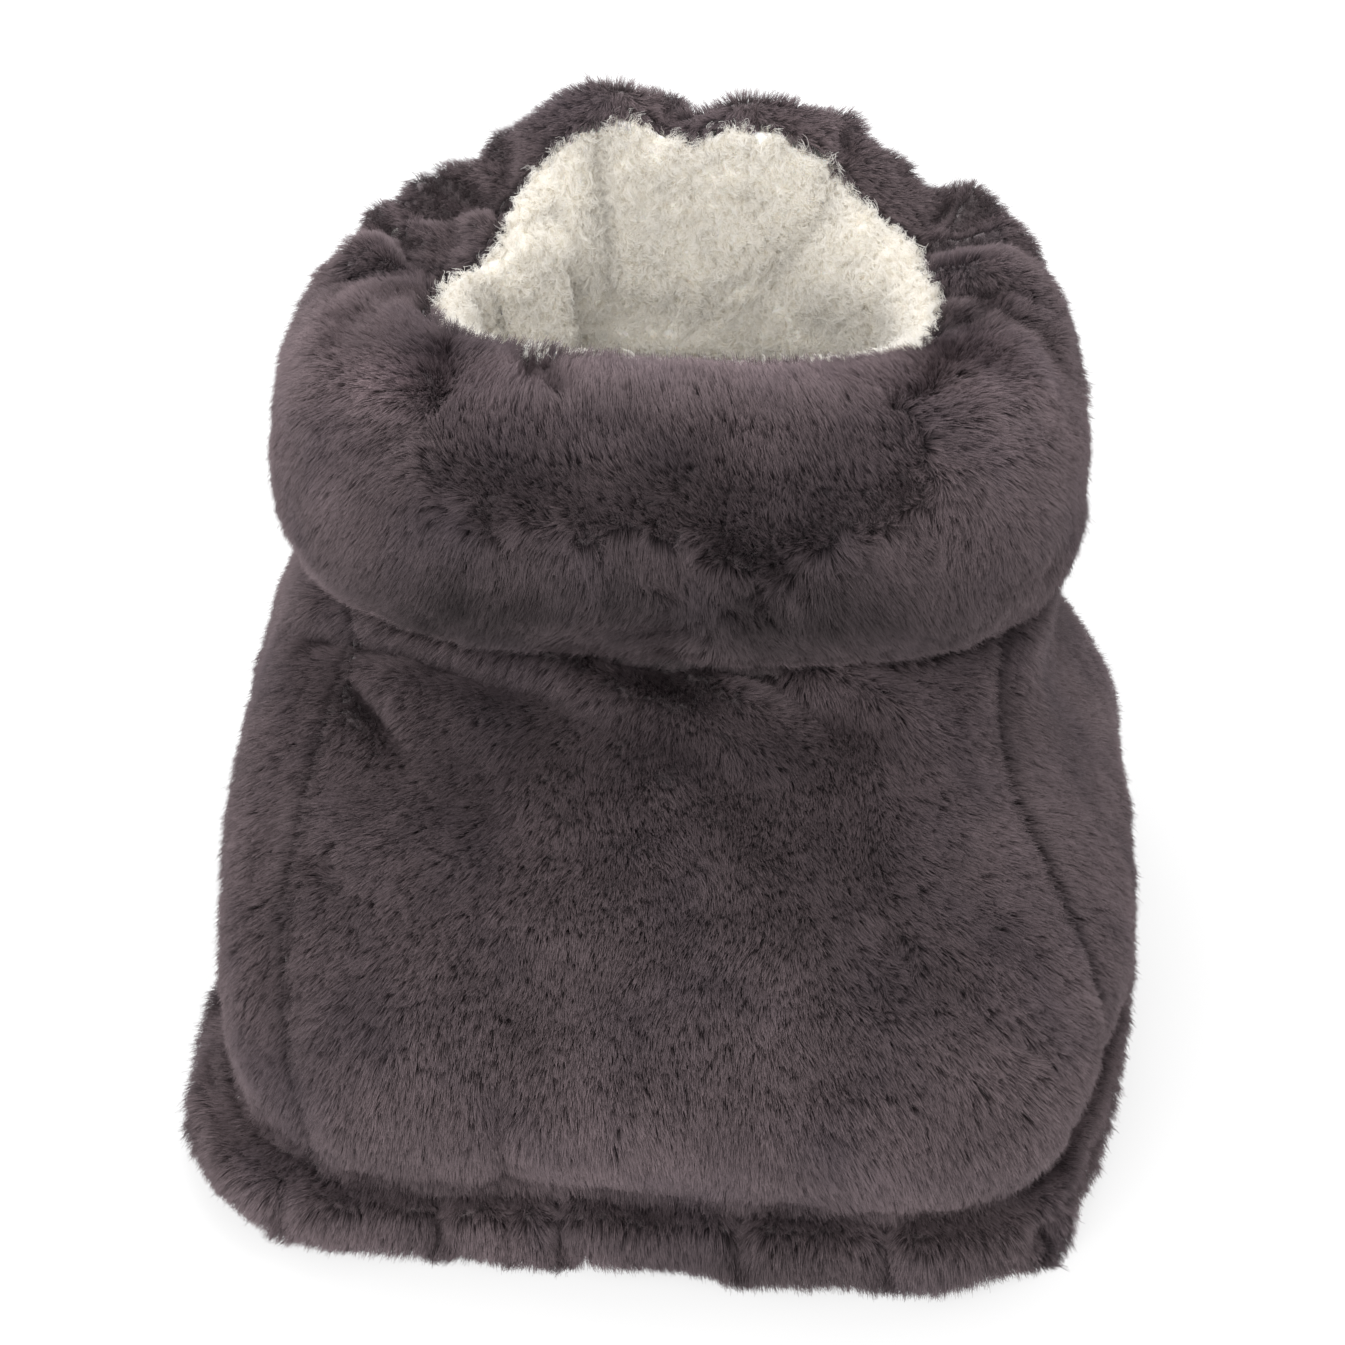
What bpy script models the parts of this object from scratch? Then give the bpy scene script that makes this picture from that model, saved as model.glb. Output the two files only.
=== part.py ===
"""Plush electric foot warmer: one boot for both feet, with a padded cuff, a heater pad and a rear zip.

Metres, +Z up. The toe faces -Y, +X is the viewer's right, and the origin is on the floor under the middle.
"""

import math

import bmesh
import bpy
import numpy as np
from mathutils import Vector

# Driving dimensions of the boot
boot_width = 0.304
toe_reach = 0.1474
heel_reach = 0.1468
upper_height = 0.1243
fit_gap = 0.0003
seam_gap = 0.0009
overrun = 0.004
weld_distance = 0.000001

# Layers of the wall, measured level, from the outside in
pile_thickness = 0.009
wadding_thickness = 0.0075
lining_thickness = 0.0065
layer_gap = 0.0008
seam_dip = 0.0045
seam_reach = 0.026
toe_skew = 0.042
toe_sway = -0.003

# Where the panels are sewn together, as degrees round the boot from the X axis, at the foot and at the top
front_left_seam_deg = (52.0, 40.0)
front_right_seam_deg = (31.0, 28.0)
rear_seam_deg = (51.0, 51.0)

# Padded cuff
opening_width = 0.148
opening_front_y = 0.0328
opening_rear_y = 0.1348
cuff_width = 0.272
cuff_sway = -0.0025
cuff_front_y = -0.0327
cuff_rear_y = 0.1588
cuff_front_height = 0.103
cuff_side_height = 0.090
cuff_rear_height = 0.104
rim_rise = 0.022
rim_rise_deg = 31.0
cuff_pile = 0.006
collar_pile = 0.004
filling_gap = 0.0018
pleat_depth = 0.0042
pleat_pitch_deg = 20.0
rim_notch_depth = 0.009
rim_notch_deg = 93.0
rim_notch_width_deg = 7.0
rim_lobe_share = 0.21
rim_lobe_deg = 146.0
rim_lobe_width_deg = 15.0
pleats_from = 0.1
pleats_until = 0.97
pleats_fade = 0.3

# Sole trim and sole
trim_proud = 0.0085
trim_inset = 0.008
trim_crease_depth = 0.0035
gather_width = 0.008
outsole_thickness = 0.0016
outsole_inset = 0.002
grip_dot_height = 0.0012
grip_dot_radius = 0.0055
grip_dot_pitch = 0.042
grip_dot_sides = 7
grip_corner_share = 0.8
foam_thickness = 0.0070
board_thickness = 0.002
board_margin = 0.012
footbed_thickness = 0.0080

# Heater pad
pad_width = 0.226
pad_depth = 0.214
pad_corner = 0.022
pad_cover_thickness = 0.0008
pad_space = 0.0048
wire_radius = 0.0011
wire_run_pitch = 0.0165
wire_run_count = 9
wire_margin = 0.018
thermostat_length = 0.018
thermostat_width = 0.009
thermostat_bevel = 0.0006
fuse_length = 0.013
fuse_radius = 0.0019
lead_radius = 0.0012

# Power inlet in the rear of the trim
inlet_x = 0.086
inlet_width = 0.024
inlet_height = 0.013
inlet_corner = 0.003
inlet_flange_width = 0.031
inlet_flange_height = 0.019
inlet_flange_thickness = 0.002
gasket_thickness = 0.0012
socket_width = 0.0165
socket_height = 0.0075
socket_depth = 0.014
sleeve_overlap = 0.001
pin_radius = 0.0012
pin_spacing = 0.008
pin_length = 0.019
pin_tail = 0.006

# Rear zip over the heater pocket
zip_window_height = 0.024
zip_face_inset = 0.0085
zip_tape_thickness = 0.0008
zip_half_length = 0.104
tooth_pitch = 0.0042
tooth_count = 44
tooth_depth = 0.0026
tooth_thickness = 0.0022
tooth_backbone = 0.0014
tooth_taper = 0.7
slider_length = 0.011
slider_overlap = 0.0022
slider_height = 0.0118
slider_plate = 0.0012
slider_lip = 0.0012
slider_nest = 0.0002
lug_length = 0.0056
lug_rise = 0.0035
lug_width = 0.0018
lug_bar = 0.0010
pull_length = 0.026
pull_width = 0.0072
pull_thickness = 0.0013
pull_bar = 0.0016
pull_corner = 0.0024
pull_slot_width = 0.0033
pull_slot_corner = 0.0006
stop_width = 0.0030

# Heights of the sole's layers, from the floor up
outsole_top = grip_dot_height + outsole_thickness
foam_bottom = outsole_top + fit_gap
board_bottom = foam_bottom + foam_thickness + fit_gap
pad_bottom = board_bottom + board_thickness + fit_gap
pad_middle = pad_bottom + pad_cover_thickness + pad_space / 2
pad_top = pad_bottom + 2 * pad_cover_thickness + pad_space
footbed_bottom = pad_top + fit_gap
footbed_top = footbed_bottom + footbed_thickness
trim_height = footbed_top - foam_bottom
upper_bottom_z = footbed_top + fit_gap
upper_top_z = upper_bottom_z + upper_height

# Stations of the upper: height, toe, heel and half-width as shares of the boot's own, squareness, and the
# sideways sway as a share of the boot's width
upper_station_shares = (
    (0.00, 0.986, 0.984, 0.965, 5.4, 0.006),
    (0.20, 1.024, 1.000, 1.005, 4.8, 0.022),
    (0.40, 0.967, 1.016, 1.006, 4.2, 0.016),
    (0.59, 0.772, 1.026, 0.950, 3.5, -0.012),
    (0.775, 0.497, 1.042, 0.866, 3.0, -0.026),
    (0.905, 0.288, 1.054, 0.832, 2.8, -0.022),
    (1.00, 0.143, 1.057, 0.818, 2.6, -0.014),
)
trim_section_shares = (
    (0.0, 0.0), (0.62, 0.0), (0.9, 0.13), (1.0, 0.38), (1.0, 0.66), (0.88, 0.9), (0.6, 1.0), (0.0, 1.0),
)
gather_shares = (-0.56, -0.40, -0.12, 0.13, 0.46, 0.80)
outline_squareness = 5.2
outline_steps = 80
cuff_squareness = 3.3
opening_squareness = 2.6
cuff_section_squareness = 2.5
cuff_lip_front_deg = 126.0
cuff_lip_side_deg = 132.0
cuff_lip_rear_deg = 124.0
cuff_foot_deg = 268.0
cuff_steps = 60
filling_steps = 12

# Colours, roughness and metallic of the materials
finishes = {
    "plush": ((0.117, 0.090, 0.098, 1.0), 0.95, 0.0),
    "sherpa": ((0.86, 0.83, 0.74, 1.0), 0.95, 0.0),
    "wadding": ((0.80, 0.80, 0.78, 1.0), 0.95, 0.0),
    "foam": ((0.30, 0.30, 0.32, 1.0), 0.90, 0.0),
    "grip_fabric": ((0.20, 0.20, 0.21, 1.0), 0.85, 0.0),
    "board": ((0.40, 0.33, 0.24, 1.0), 0.80, 0.0),
    "pad_cloth": ((0.72, 0.72, 0.70, 1.0), 0.85, 0.0),
    "wire_sleeve": ((0.55, 0.08, 0.06, 1.0), 0.50, 0.0),
    "black_plastic": ((0.025, 0.025, 0.028, 1.0), 0.40, 0.0),
    "gasket_rubber": ((0.03, 0.03, 0.03, 1.0), 0.70, 0.0),
    "plated_brass": ((0.65, 0.52, 0.28, 1.0), 0.30, 1.0),
    "zip_tape": ((0.085, 0.068, 0.073, 1.0), 0.90, 0.0),
    "zip_nylon": ((0.11, 0.09, 0.096, 1.0), 0.45, 0.0),
    "zip_metal": ((0.42, 0.41, 0.42, 1.0), 0.28, 1.0),
}


def clear_scene():
    for obj in list(bpy.data.objects):
        bpy.data.objects.remove(obj, do_unlink=True)


def new_collection(name):
    collection = bpy.data.collections.new(name)
    bpy.context.scene.collection.children.link(collection)
    return collection


clear_scene()
boot = new_collection("foot_warmer")
tools = new_collection("cutters")


def finish_material(name):
    found = bpy.data.materials.get(name)
    if found:
        return found
    colour, roughness, metallic = finishes[name]
    material = bpy.data.materials.new(name)
    material.use_nodes = True
    shader = material.node_tree.nodes["Principled BSDF"]
    shader.inputs["Base Color"].default_value = colour
    shader.inputs["Roughness"].default_value = roughness
    shader.inputs["Metallic"].default_value = metallic
    material.diffuse_color = colour
    return material


def place(obj, finish, collection=boot):
    for old in list(obj.users_collection):
        old.objects.unlink(obj)
    collection.objects.link(obj)
    if finish:
        obj.data.materials.clear()
        obj.data.materials.append(finish_material(finish))
    return obj


def mesh_object(name, bm, finish, collection=boot, smooth_deg=40):
    bmesh.ops.recalc_face_normals(bm, faces=bm.faces)
    mesh = bpy.data.meshes.new(name)
    bm.to_mesh(mesh)
    bm.free()
    mesh.shade_smooth()
    mesh.set_sharp_from_angle(angle=math.radians(smooth_deg))
    return place(bpy.data.objects.new(name, mesh), finish, collection)


def as_cutter(obj):
    obj.hide_render = True
    obj.display_type = "WIRE"
    return obj


def boolean(obj, other, operation):
    modifier = obj.modifiers.new(operation.lower(), "BOOLEAN")
    modifier.operation = operation
    modifier.object = as_cutter(other)
    modifier.solver = "EXACT"
    return obj


def box(name, centre, size, finish, collection=boot, bevel=0.0):
    bm = bmesh.new()
    bmesh.ops.create_cube(bm, size=1.0)
    bmesh.ops.scale(bm, vec=size, verts=bm.verts)
    obj = mesh_object(name, bm, finish, collection)
    obj.location = centre
    if bevel:
        modifier = obj.modifiers.new("bevel", "BEVEL")
        modifier.width = bevel
        modifier.segments = 2
    return obj


def cylinder(name, start, end, radius, sides, finish, collection=boot):
    """A round bar from start to end."""
    start, end = Vector(start), Vector(end)
    bm = bmesh.new()
    bmesh.ops.create_cone(
        bm, cap_ends=True, segments=sides, radius1=radius, radius2=radius, depth=(end - start).length
    )
    obj = mesh_object(name, bm, finish, collection)
    obj.rotation_mode = "QUATERNION"
    obj.rotation_quaternion = (end - start).to_track_quat("Z", "Y")
    obj.location = (start + end) / 2
    return obj


def wire(name, points, radius, finish, sides_level=0):
    curve = bpy.data.curves.new(name, "CURVE")
    curve.dimensions = "3D"
    curve.bevel_depth = radius
    curve.bevel_resolution = sides_level
    curve.use_fill_caps = True
    spline = curve.splines.new("POLY")
    spline.points.add(len(points) - 1)
    for point, where in zip(spline.points, points):
        point.co = (*where, 1.0)
    return place(bpy.data.objects.new(name, curve), finish)


def plate(name, outlines, thickness, finish, centre=(0, 0, 0), turned_up=False, collection=boot):
    """A flat plate from closed 2D outlines, the second a hole; it lies level, or stands facing +Y."""
    curve = bpy.data.curves.new(name, "CURVE")
    curve.dimensions = "2D"
    curve.fill_mode = "BOTH"
    curve.extrude = thickness / 2
    for outline in outlines:
        spline = curve.splines.new("POLY")
        spline.points.add(len(outline) - 1)
        for point, (u, v) in zip(spline.points, outline):
            point.co = (u, v, 0.0, 1.0)
        spline.use_cyclic_u = True
    obj = place(bpy.data.objects.new(name, curve), finish, collection)
    obj.location = centre
    if turned_up:
        obj.rotation_euler = (math.radians(90), 0, 0)
    return obj


def as_mesh(obj, finish, collection=boot):
    """A curve object made a closed mesh, with its loose caps welded."""
    bpy.context.view_layer.update()
    evaluated = obj.evaluated_get(bpy.context.evaluated_depsgraph_get())
    mesh = bpy.data.meshes.new_from_object(evaluated)
    bm = bmesh.new()
    bm.from_mesh(mesh)
    bmesh.ops.remove_doubles(bm, verts=bm.verts, dist=weld_distance)
    bmesh.ops.recalc_face_normals(bm, faces=bm.faces)
    bm.to_mesh(mesh)
    bm.free()
    name = obj.name
    matrix = obj.matrix_world.copy()
    bpy.data.objects.remove(obj, do_unlink=True)
    solid = place(bpy.data.objects.new(name, mesh), finish, collection)
    solid.matrix_world = matrix
    return solid


def rounded_outline(width, height, corner, steps=4):
    """A rectangle with round corners, anticlockwise, about the origin."""
    points = []
    for quarter in range(4):
        sign_u = 1 if quarter in (0, 3) else -1
        sign_v = 1 if quarter in (0, 1) else -1
        for step in range(steps + 1):
            angle = math.radians(90) * (quarter + step / steps)
            points.append((
                sign_u * (width / 2 - corner) + corner * math.cos(angle),
                sign_v * (height / 2 - corner) + corner * math.sin(angle),
            ))
    return points


def share_between(low, high, share):
    return low + (high - low) * share


def ease(value):
    """0 to 1 with a level start and end."""
    value = min(max(value, 0.0), 1.0)
    return value * value * (3.0 - 2.0 * value)


def squircle(angle_deg, squareness):
    """A point of the unit rounded square, in the direction of the angle."""
    c, s = math.cos(math.radians(angle_deg)), math.sin(math.radians(angle_deg))
    reach = (abs(c) ** squareness + abs(s) ** squareness) ** (1.0 / squareness)
    return c / reach, s / reach


def ring_point(angle_deg, half_width, toe, heel, squareness):
    """A point of the boot's outline in plan, whose toe end is skewed and sways."""
    u, v = squircle(angle_deg, squareness)
    toeward = ease(-v)
    y = (heel - toe) / 2 + (heel + toe) / 2 * v
    return half_width * u + toe_sway * toeward, y - toe_skew * half_width * u * toeward


def upper_station(share):
    """Toe, heel and half-width shares, squareness and sway of the upper at a share of its height."""
    table = np.array(upper_station_shares)
    at, values = table[:, 0], table[:, 1:]
    slopes = np.gradient(values, at, axis=0)
    k = int(np.clip(np.searchsorted(at, share) - 1, 0, len(at) - 2))
    span = at[k + 1] - at[k]
    u = (share - at[k]) / span
    return (
        values[k] * (2 * u**3 - 3 * u**2 + 1)
        + slopes[k] * span * (u**3 - 2 * u**2 + u)
        + values[k + 1] * (3 * u**2 - 2 * u**3)
        + slopes[k + 1] * span * (u**3 - u**2)
    )


def upper_point(angle_deg, share, inset):
    """A point of the upper, inset level from its outer face."""
    toe, heel, width, squareness, sway = upper_station(share)
    x, y = ring_point(
        angle_deg,
        boot_width / 2 * width - inset,
        toe_reach * toe - inset,
        heel_reach * heel - inset,
        squareness,
    )
    return Vector((x + boot_width * sway, y, share_between(upper_bottom_z, upper_top_z, share)))


def outline_point(angle_deg, outset):
    """A point of the sole's outline, moved outwards."""
    return ring_point(
        angle_deg, boot_width / 2 + outset, toe_reach + outset, heel_reach + outset, outline_squareness
    )


def outline_rear_y(x, outset=0.0):
    """How far back the sole's outline reaches at x."""
    share = abs(x) / (boot_width / 2 + outset)
    middle, half = (heel_reach - toe_reach) / 2, (heel_reach + toe_reach) / 2 + outset
    return middle + half * (1 - share**outline_squareness) ** (1 / outline_squareness)


def shell_between(name, outer, inner, finish, closed_round):
    """A closed skin between two like grids of points, [round][up]; it is a loft between unlike sections."""
    bm = bmesh.new()
    rows, columns = len(outer), len(outer[0])
    out = [[bm.verts.new(p) for p in line] for line in outer]
    inn = [[bm.verts.new(p) for p in line] for line in inner]
    for i in range(rows if closed_round else rows - 1):
        n = (i + 1) % rows
        for j in range(columns - 1):
            bm.faces.new((out[i][j], out[n][j], out[n][j + 1], out[i][j + 1]))
            bm.faces.new((inn[i][j], inn[i][j + 1], inn[n][j + 1], inn[n][j]))
        bm.faces.new((out[i][0], inn[i][0], inn[n][0], out[n][0]))
        bm.faces.new((out[i][-1], out[n][-1], inn[n][-1], inn[i][-1]))
    if not closed_round:
        for j in range(columns - 1):
            bm.faces.new((out[0][j], out[0][j + 1], inn[0][j + 1], inn[0][j]))
            bm.faces.new((out[-1][j], inn[-1][j], inn[-1][j + 1], out[-1][j + 1]))
    return mesh_object(name, bm, finish)


def tube_between(name, rings, finish):
    """A closed ring of like closed sections, [round][section]."""
    bm = bmesh.new()
    made = [[bm.verts.new(p) for p in ring] for ring in rings]
    for i, ring in enumerate(made):
        after = made[(i + 1) % len(made)]
        for j in range(len(ring)):
            k = (j + 1) % len(ring)
            bm.faces.new((ring[j], after[j], after[k], ring[k]))
    return mesh_object(name, bm, finish)


def wall_patch(name, finish, start_deg, end_deg, outer_inset, inner_inset, steps_round, steps_up,
               bottom_share=0.0, dip=0.0):
    """One layer of one panel between two seams, with its outer face drawn in towards them by dip."""
    gap_deg = math.degrees(seam_gap / boot_width)
    height = upper_top_z - upper_bottom_z
    outer, inner = [], []
    for i in range(steps_round + 1):
        outer.append([])
        inner.append([])
        for j in range(steps_up + 1):
            share = share_between(bottom_share, 1.0, j / steps_up)
            first = share_between(*start_deg, share) + gap_deg
            last = share_between(*end_deg, share) - gap_deg
            angle = share_between(first, last, i / steps_round)
            to_seam = math.radians(min(angle - first, last - angle)) * boot_width / 2
            to_edge = min(to_seam, (share - bottom_share) * height)
            drawn_in = dip * (1 - ease(to_edge / seam_reach)) ** 2
            outer[-1].append(upper_point(angle, share, outer_inset + drawn_in))
            inner[-1].append(upper_point(angle, share, inner_inset))
    return shell_between(name, outer, inner, finish, closed_round=False)


def make_upper():
    """Plush panels, wadding behind them and sherpa lining inside, panel by panel."""
    window_share = zip_window_height / (upper_top_z - upper_bottom_z)
    front_left = [deg - 180 for deg in front_left_seam_deg]
    front_right = [-deg for deg in front_right_seam_deg]
    rear_left = [180 - deg for deg in rear_seam_deg]
    panels = (
        ("vamp", front_left, front_right, 18, 10, 0.0),
        ("side_right", front_right, rear_seam_deg, 14, 10, 0.0),
        ("heel", rear_seam_deg, rear_left, 12, 8, window_share),
        ("side_left", rear_left, [deg + 360 for deg in front_left], 14, 10, 0.0),
    )
    wadding_at = pile_thickness + layer_gap
    lining_at = wadding_at + wadding_thickness + layer_gap
    for name, start, end, steps_round, steps_up, bottom in panels:
        wall_patch(f"{name}_panel", "plush", start, end, 0.0, pile_thickness,
                   steps_round, steps_up, bottom, seam_dip)
        wall_patch(f"{name}_wadding", "wadding", start, end, wadding_at,
                   wadding_at + wadding_thickness, steps_round // 2, steps_up, bottom)
        wall_patch(f"{name}_lining", "sherpa", start, end, lining_at,
                   lining_at + lining_thickness, steps_round // 2, steps_up)


def cuff_plan(angle_deg):
    """Inner and outer point of the cuff in plan, and the height of its rim."""
    opening_y = (opening_front_y + opening_rear_y) / 2
    opening_reach = (opening_rear_y - opening_front_y) / 2
    cuff_y = (cuff_front_y + cuff_rear_y) / 2
    cuff_reach = (cuff_rear_y - cuff_front_y) / 2
    u, v = squircle(angle_deg, opening_squareness)
    from_lobe = (angle_deg - rim_lobe_deg) / rim_lobe_width_deg
    spread = 1 - rim_lobe_share * math.exp(-(from_lobe**4))
    inner = Vector((cuff_sway + opening_width / 2 * u * spread, opening_y + opening_reach * v * spread, 0.0))
    u, v = squircle(angle_deg, cuff_squareness)
    outer = Vector((cuff_sway + cuff_width / 2 * u, cuff_y + cuff_reach * v, 0.0))
    to_rear = math.sin(math.radians(angle_deg))
    height = share_between(cuff_side_height, cuff_rear_height if to_rear > 0 else cuff_front_height,
                           ease(abs(to_rear)))
    gathered = ease((to_rear - pleats_from) / pleats_fade) * ease((pleats_until - to_rear) / pleats_fade)
    pleat = pleat_depth * gathered * (0.5 - 0.5 * math.cos(2 * math.pi * angle_deg / pleat_pitch_deg))
    from_notch = (angle_deg - rim_notch_deg) / rim_notch_width_deg
    from_rear = (angle_deg - 90) / rim_rise_deg
    height += rim_rise * math.exp(-(from_rear**4))
    height -= rim_notch_depth * math.exp(-from_notch * from_notch) + pleat
    outward = (outer - inner).normalized()
    return inner, outer - outward * pleat, height


def cuff_point(angle_deg, section_deg, inset):
    """A point of the cuff's section: 0 degrees faces outwards and 90 up."""
    inner, outer, height = cuff_plan(angle_deg)
    half = (outer - inner).length / 2
    u, v = squircle(section_deg, cuff_section_squareness)
    point = (inner + outer) / 2 + (outer - inner).normalized() * (half - inset) * u
    middle = upper_top_z + fit_gap + height / 2
    return Vector((point.x, point.y, middle + (height / 2 - inset) * v))


def cuff_lip_deg(angle_deg):
    """Where the plush ends on the cuff's section: just over the top, and further in at the sides."""
    to_rear = math.sin(math.radians(angle_deg))
    end = cuff_lip_rear_deg if to_rear > 0 else cuff_lip_front_deg
    return share_between(cuff_lip_side_deg, end, ease(abs(to_rear)))


def cuff_skin(name, finish, section_from, section_to, thickness, steps_section):
    """One skin of the cuff; its section runs between two angles that may differ round the cuff."""
    grids = []
    for inset in (0.0, thickness):
        grids.append([])
        for i in range(cuff_steps):
            angle = 360 * i / cuff_steps
            start, end = section_from(angle), section_to(angle)
            grids[-1].append([cuff_point(angle, share_between(start, end, j / steps_section), inset)
                              for j in range(steps_section + 1)])
    return shell_between(name, grids[0], grids[1], finish, closed_round=True)


def make_cuff():
    """The cuff's plush cover and sherpa collar close round its filling, sewn at the lip and the foot."""
    seam_deg = math.degrees(seam_gap / cuff_side_height * 2)
    cuff_skin("cuff_cover", "plush", lambda angle: cuff_foot_deg - 360 + seam_deg,
              lambda angle: cuff_lip_deg(angle) - seam_deg, cuff_pile, 10)
    cuff_skin("collar_lining", "sherpa", lambda angle: cuff_lip_deg(angle) + seam_deg,
              lambda angle: cuff_foot_deg, collar_pile, 7)
    rings = []
    for i in range(cuff_steps):
        angle = 360 * i / cuff_steps
        lip = cuff_lip_deg(angle) + 360 / filling_steps
        ring = []
        for j in range(filling_steps):
            section = 360 * j / filling_steps - 90
            inset = (cuff_pile if section < lip else collar_pile) + filling_gap
            ring.append(cuff_point(angle, section, inset))
        rings.append(ring)
    tube_between("cuff_filling", rings, "wadding")


# The inlet spans the trim, from the sole's edge to the trim's outer face
inlet_face_y = outline_rear_y(inlet_x) + trim_proud
inlet_inner_y = outline_rear_y(inlet_x - inlet_width / 2, -trim_inset) + fit_gap


def outline_plate(name, outset, thickness, bottom, finish):
    outline = [outline_point(360 * i / outline_steps, outset) for i in range(outline_steps)]
    flat = plate(name, [outline], thickness, finish, (0, 0, bottom + thickness / 2))
    return as_mesh(flat, finish)


def make_trim():
    """Plush band round the sole: a half-round section, pinched where it is gathered along the toe."""
    rings = []
    for i in range(outline_steps):
        angle = 360 * i / outline_steps
        x, y = outline_point(angle, 0.0)
        pinch = 0.0
        if y < 0:
            pinch = sum(math.exp(-(((x - share * boot_width / 2) / gather_width) ** 2))
                        for share in gather_shares)
        width = trim_inset + trim_proud - trim_crease_depth * min(pinch, 1.0)
        ring = []
        for across, up in trim_section_shares:
            px, py = outline_point(angle, width * across - trim_inset)
            ring.append(Vector((px, py, foam_bottom + trim_height * up)))
        rings.append(ring)
    trim = tube_between("sole_trim", rings, "plush")
    gap = 2 * fit_gap
    through = 2 * (trim_inset + trim_proud + overrun)
    hole = box("inlet_notch", (inlet_x, inlet_face_y - trim_inset, pad_middle),
               (inlet_width + gap, through, inlet_height + gap), None, tools)
    boolean(trim, hole, "DIFFERENCE")
    seat = box("inlet_seat", (inlet_x, inlet_face_y + (trim_proud + overrun) / 2, pad_middle),
               (inlet_flange_width + gap, trim_proud + overrun, inlet_flange_height + gap), None, tools)
    boolean(trim, seat, "DIFFERENCE")


def make_sole():
    """Dotted outsole, foam, stiffening board and fleece footbed."""
    outsole = outline_plate("outsole", trim_proud - outsole_inset - 2 * trim_crease_depth, outsole_thickness,
                            grip_dot_height, "grip_fabric")
    bm = bmesh.new()
    reach = int(boot_width / 2 / grip_dot_pitch)
    sunk = outsole_thickness / 2
    for column in range(-reach, reach + 1):
        for row in range(-reach, reach + 1):
            x, y = column * grip_dot_pitch, row * grip_dot_pitch
            beyond_corner = abs(x) + abs(y) > grip_corner_share * boot_width
            if beyond_corner or max(abs(x), abs(y)) + grip_dot_radius > boot_width / 2:
                continue
            made = bmesh.ops.create_cone(bm, cap_ends=True, segments=grip_dot_sides, radius1=grip_dot_radius,
                                         radius2=grip_dot_radius, depth=grip_dot_height + sunk)
            bmesh.ops.translate(bm, verts=made["verts"], vec=(x, y, (grip_dot_height + sunk) / 2))
    dots = mesh_object("grip_dots", bm, "grip_fabric", tools)
    boolean(outsole, dots, "UNION")
    inside = -trim_inset - fit_gap
    outline_plate("sole_foam", inside, foam_thickness, foam_bottom, "foam")
    outline_plate("sole_board", inside - board_margin, board_thickness, board_bottom, "board")
    outline_plate("footbed", inside, footbed_thickness, footbed_bottom, "sherpa")


def rounded_route(corners, radius, steps=3):
    """The points of a path through these corners, each turned with this radius."""
    points = [Vector(corners[0])]
    for before, corner, after in zip(corners, corners[1:], corners[2:]):
        before, corner, after = Vector(before), Vector(corner), Vector(after)
        back, on = (before - corner).normalized(), (after - corner).normalized()
        centre = corner + (back + on) * radius
        for step in range(steps + 1):
            turn = math.radians(90) * step / steps
            point = centre - on * radius * math.cos(turn) - back * radius * math.sin(turn)
            if (point - points[-1]).length > wire_radius:
                points.append(point)
    points.append(Vector(corners[-1]))
    return points


def least_gap(points, radius):
    """The least clear distance of a wire to its own later runs."""
    at = np.array([tuple(p) for p in points])
    fine = np.concatenate([np.linspace(a, b, 12, endpoint=False) for a, b in zip(at, at[1:])])
    along = np.concatenate([[0], np.cumsum(np.linalg.norm(np.diff(fine, axis=0), axis=1))])
    apart = np.linalg.norm(fine[:, None] - fine[None], axis=2)
    far = np.abs(along[:, None] - along[None]) > 2 * wire_run_pitch
    return apart[far].min() - 2 * radius


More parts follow.
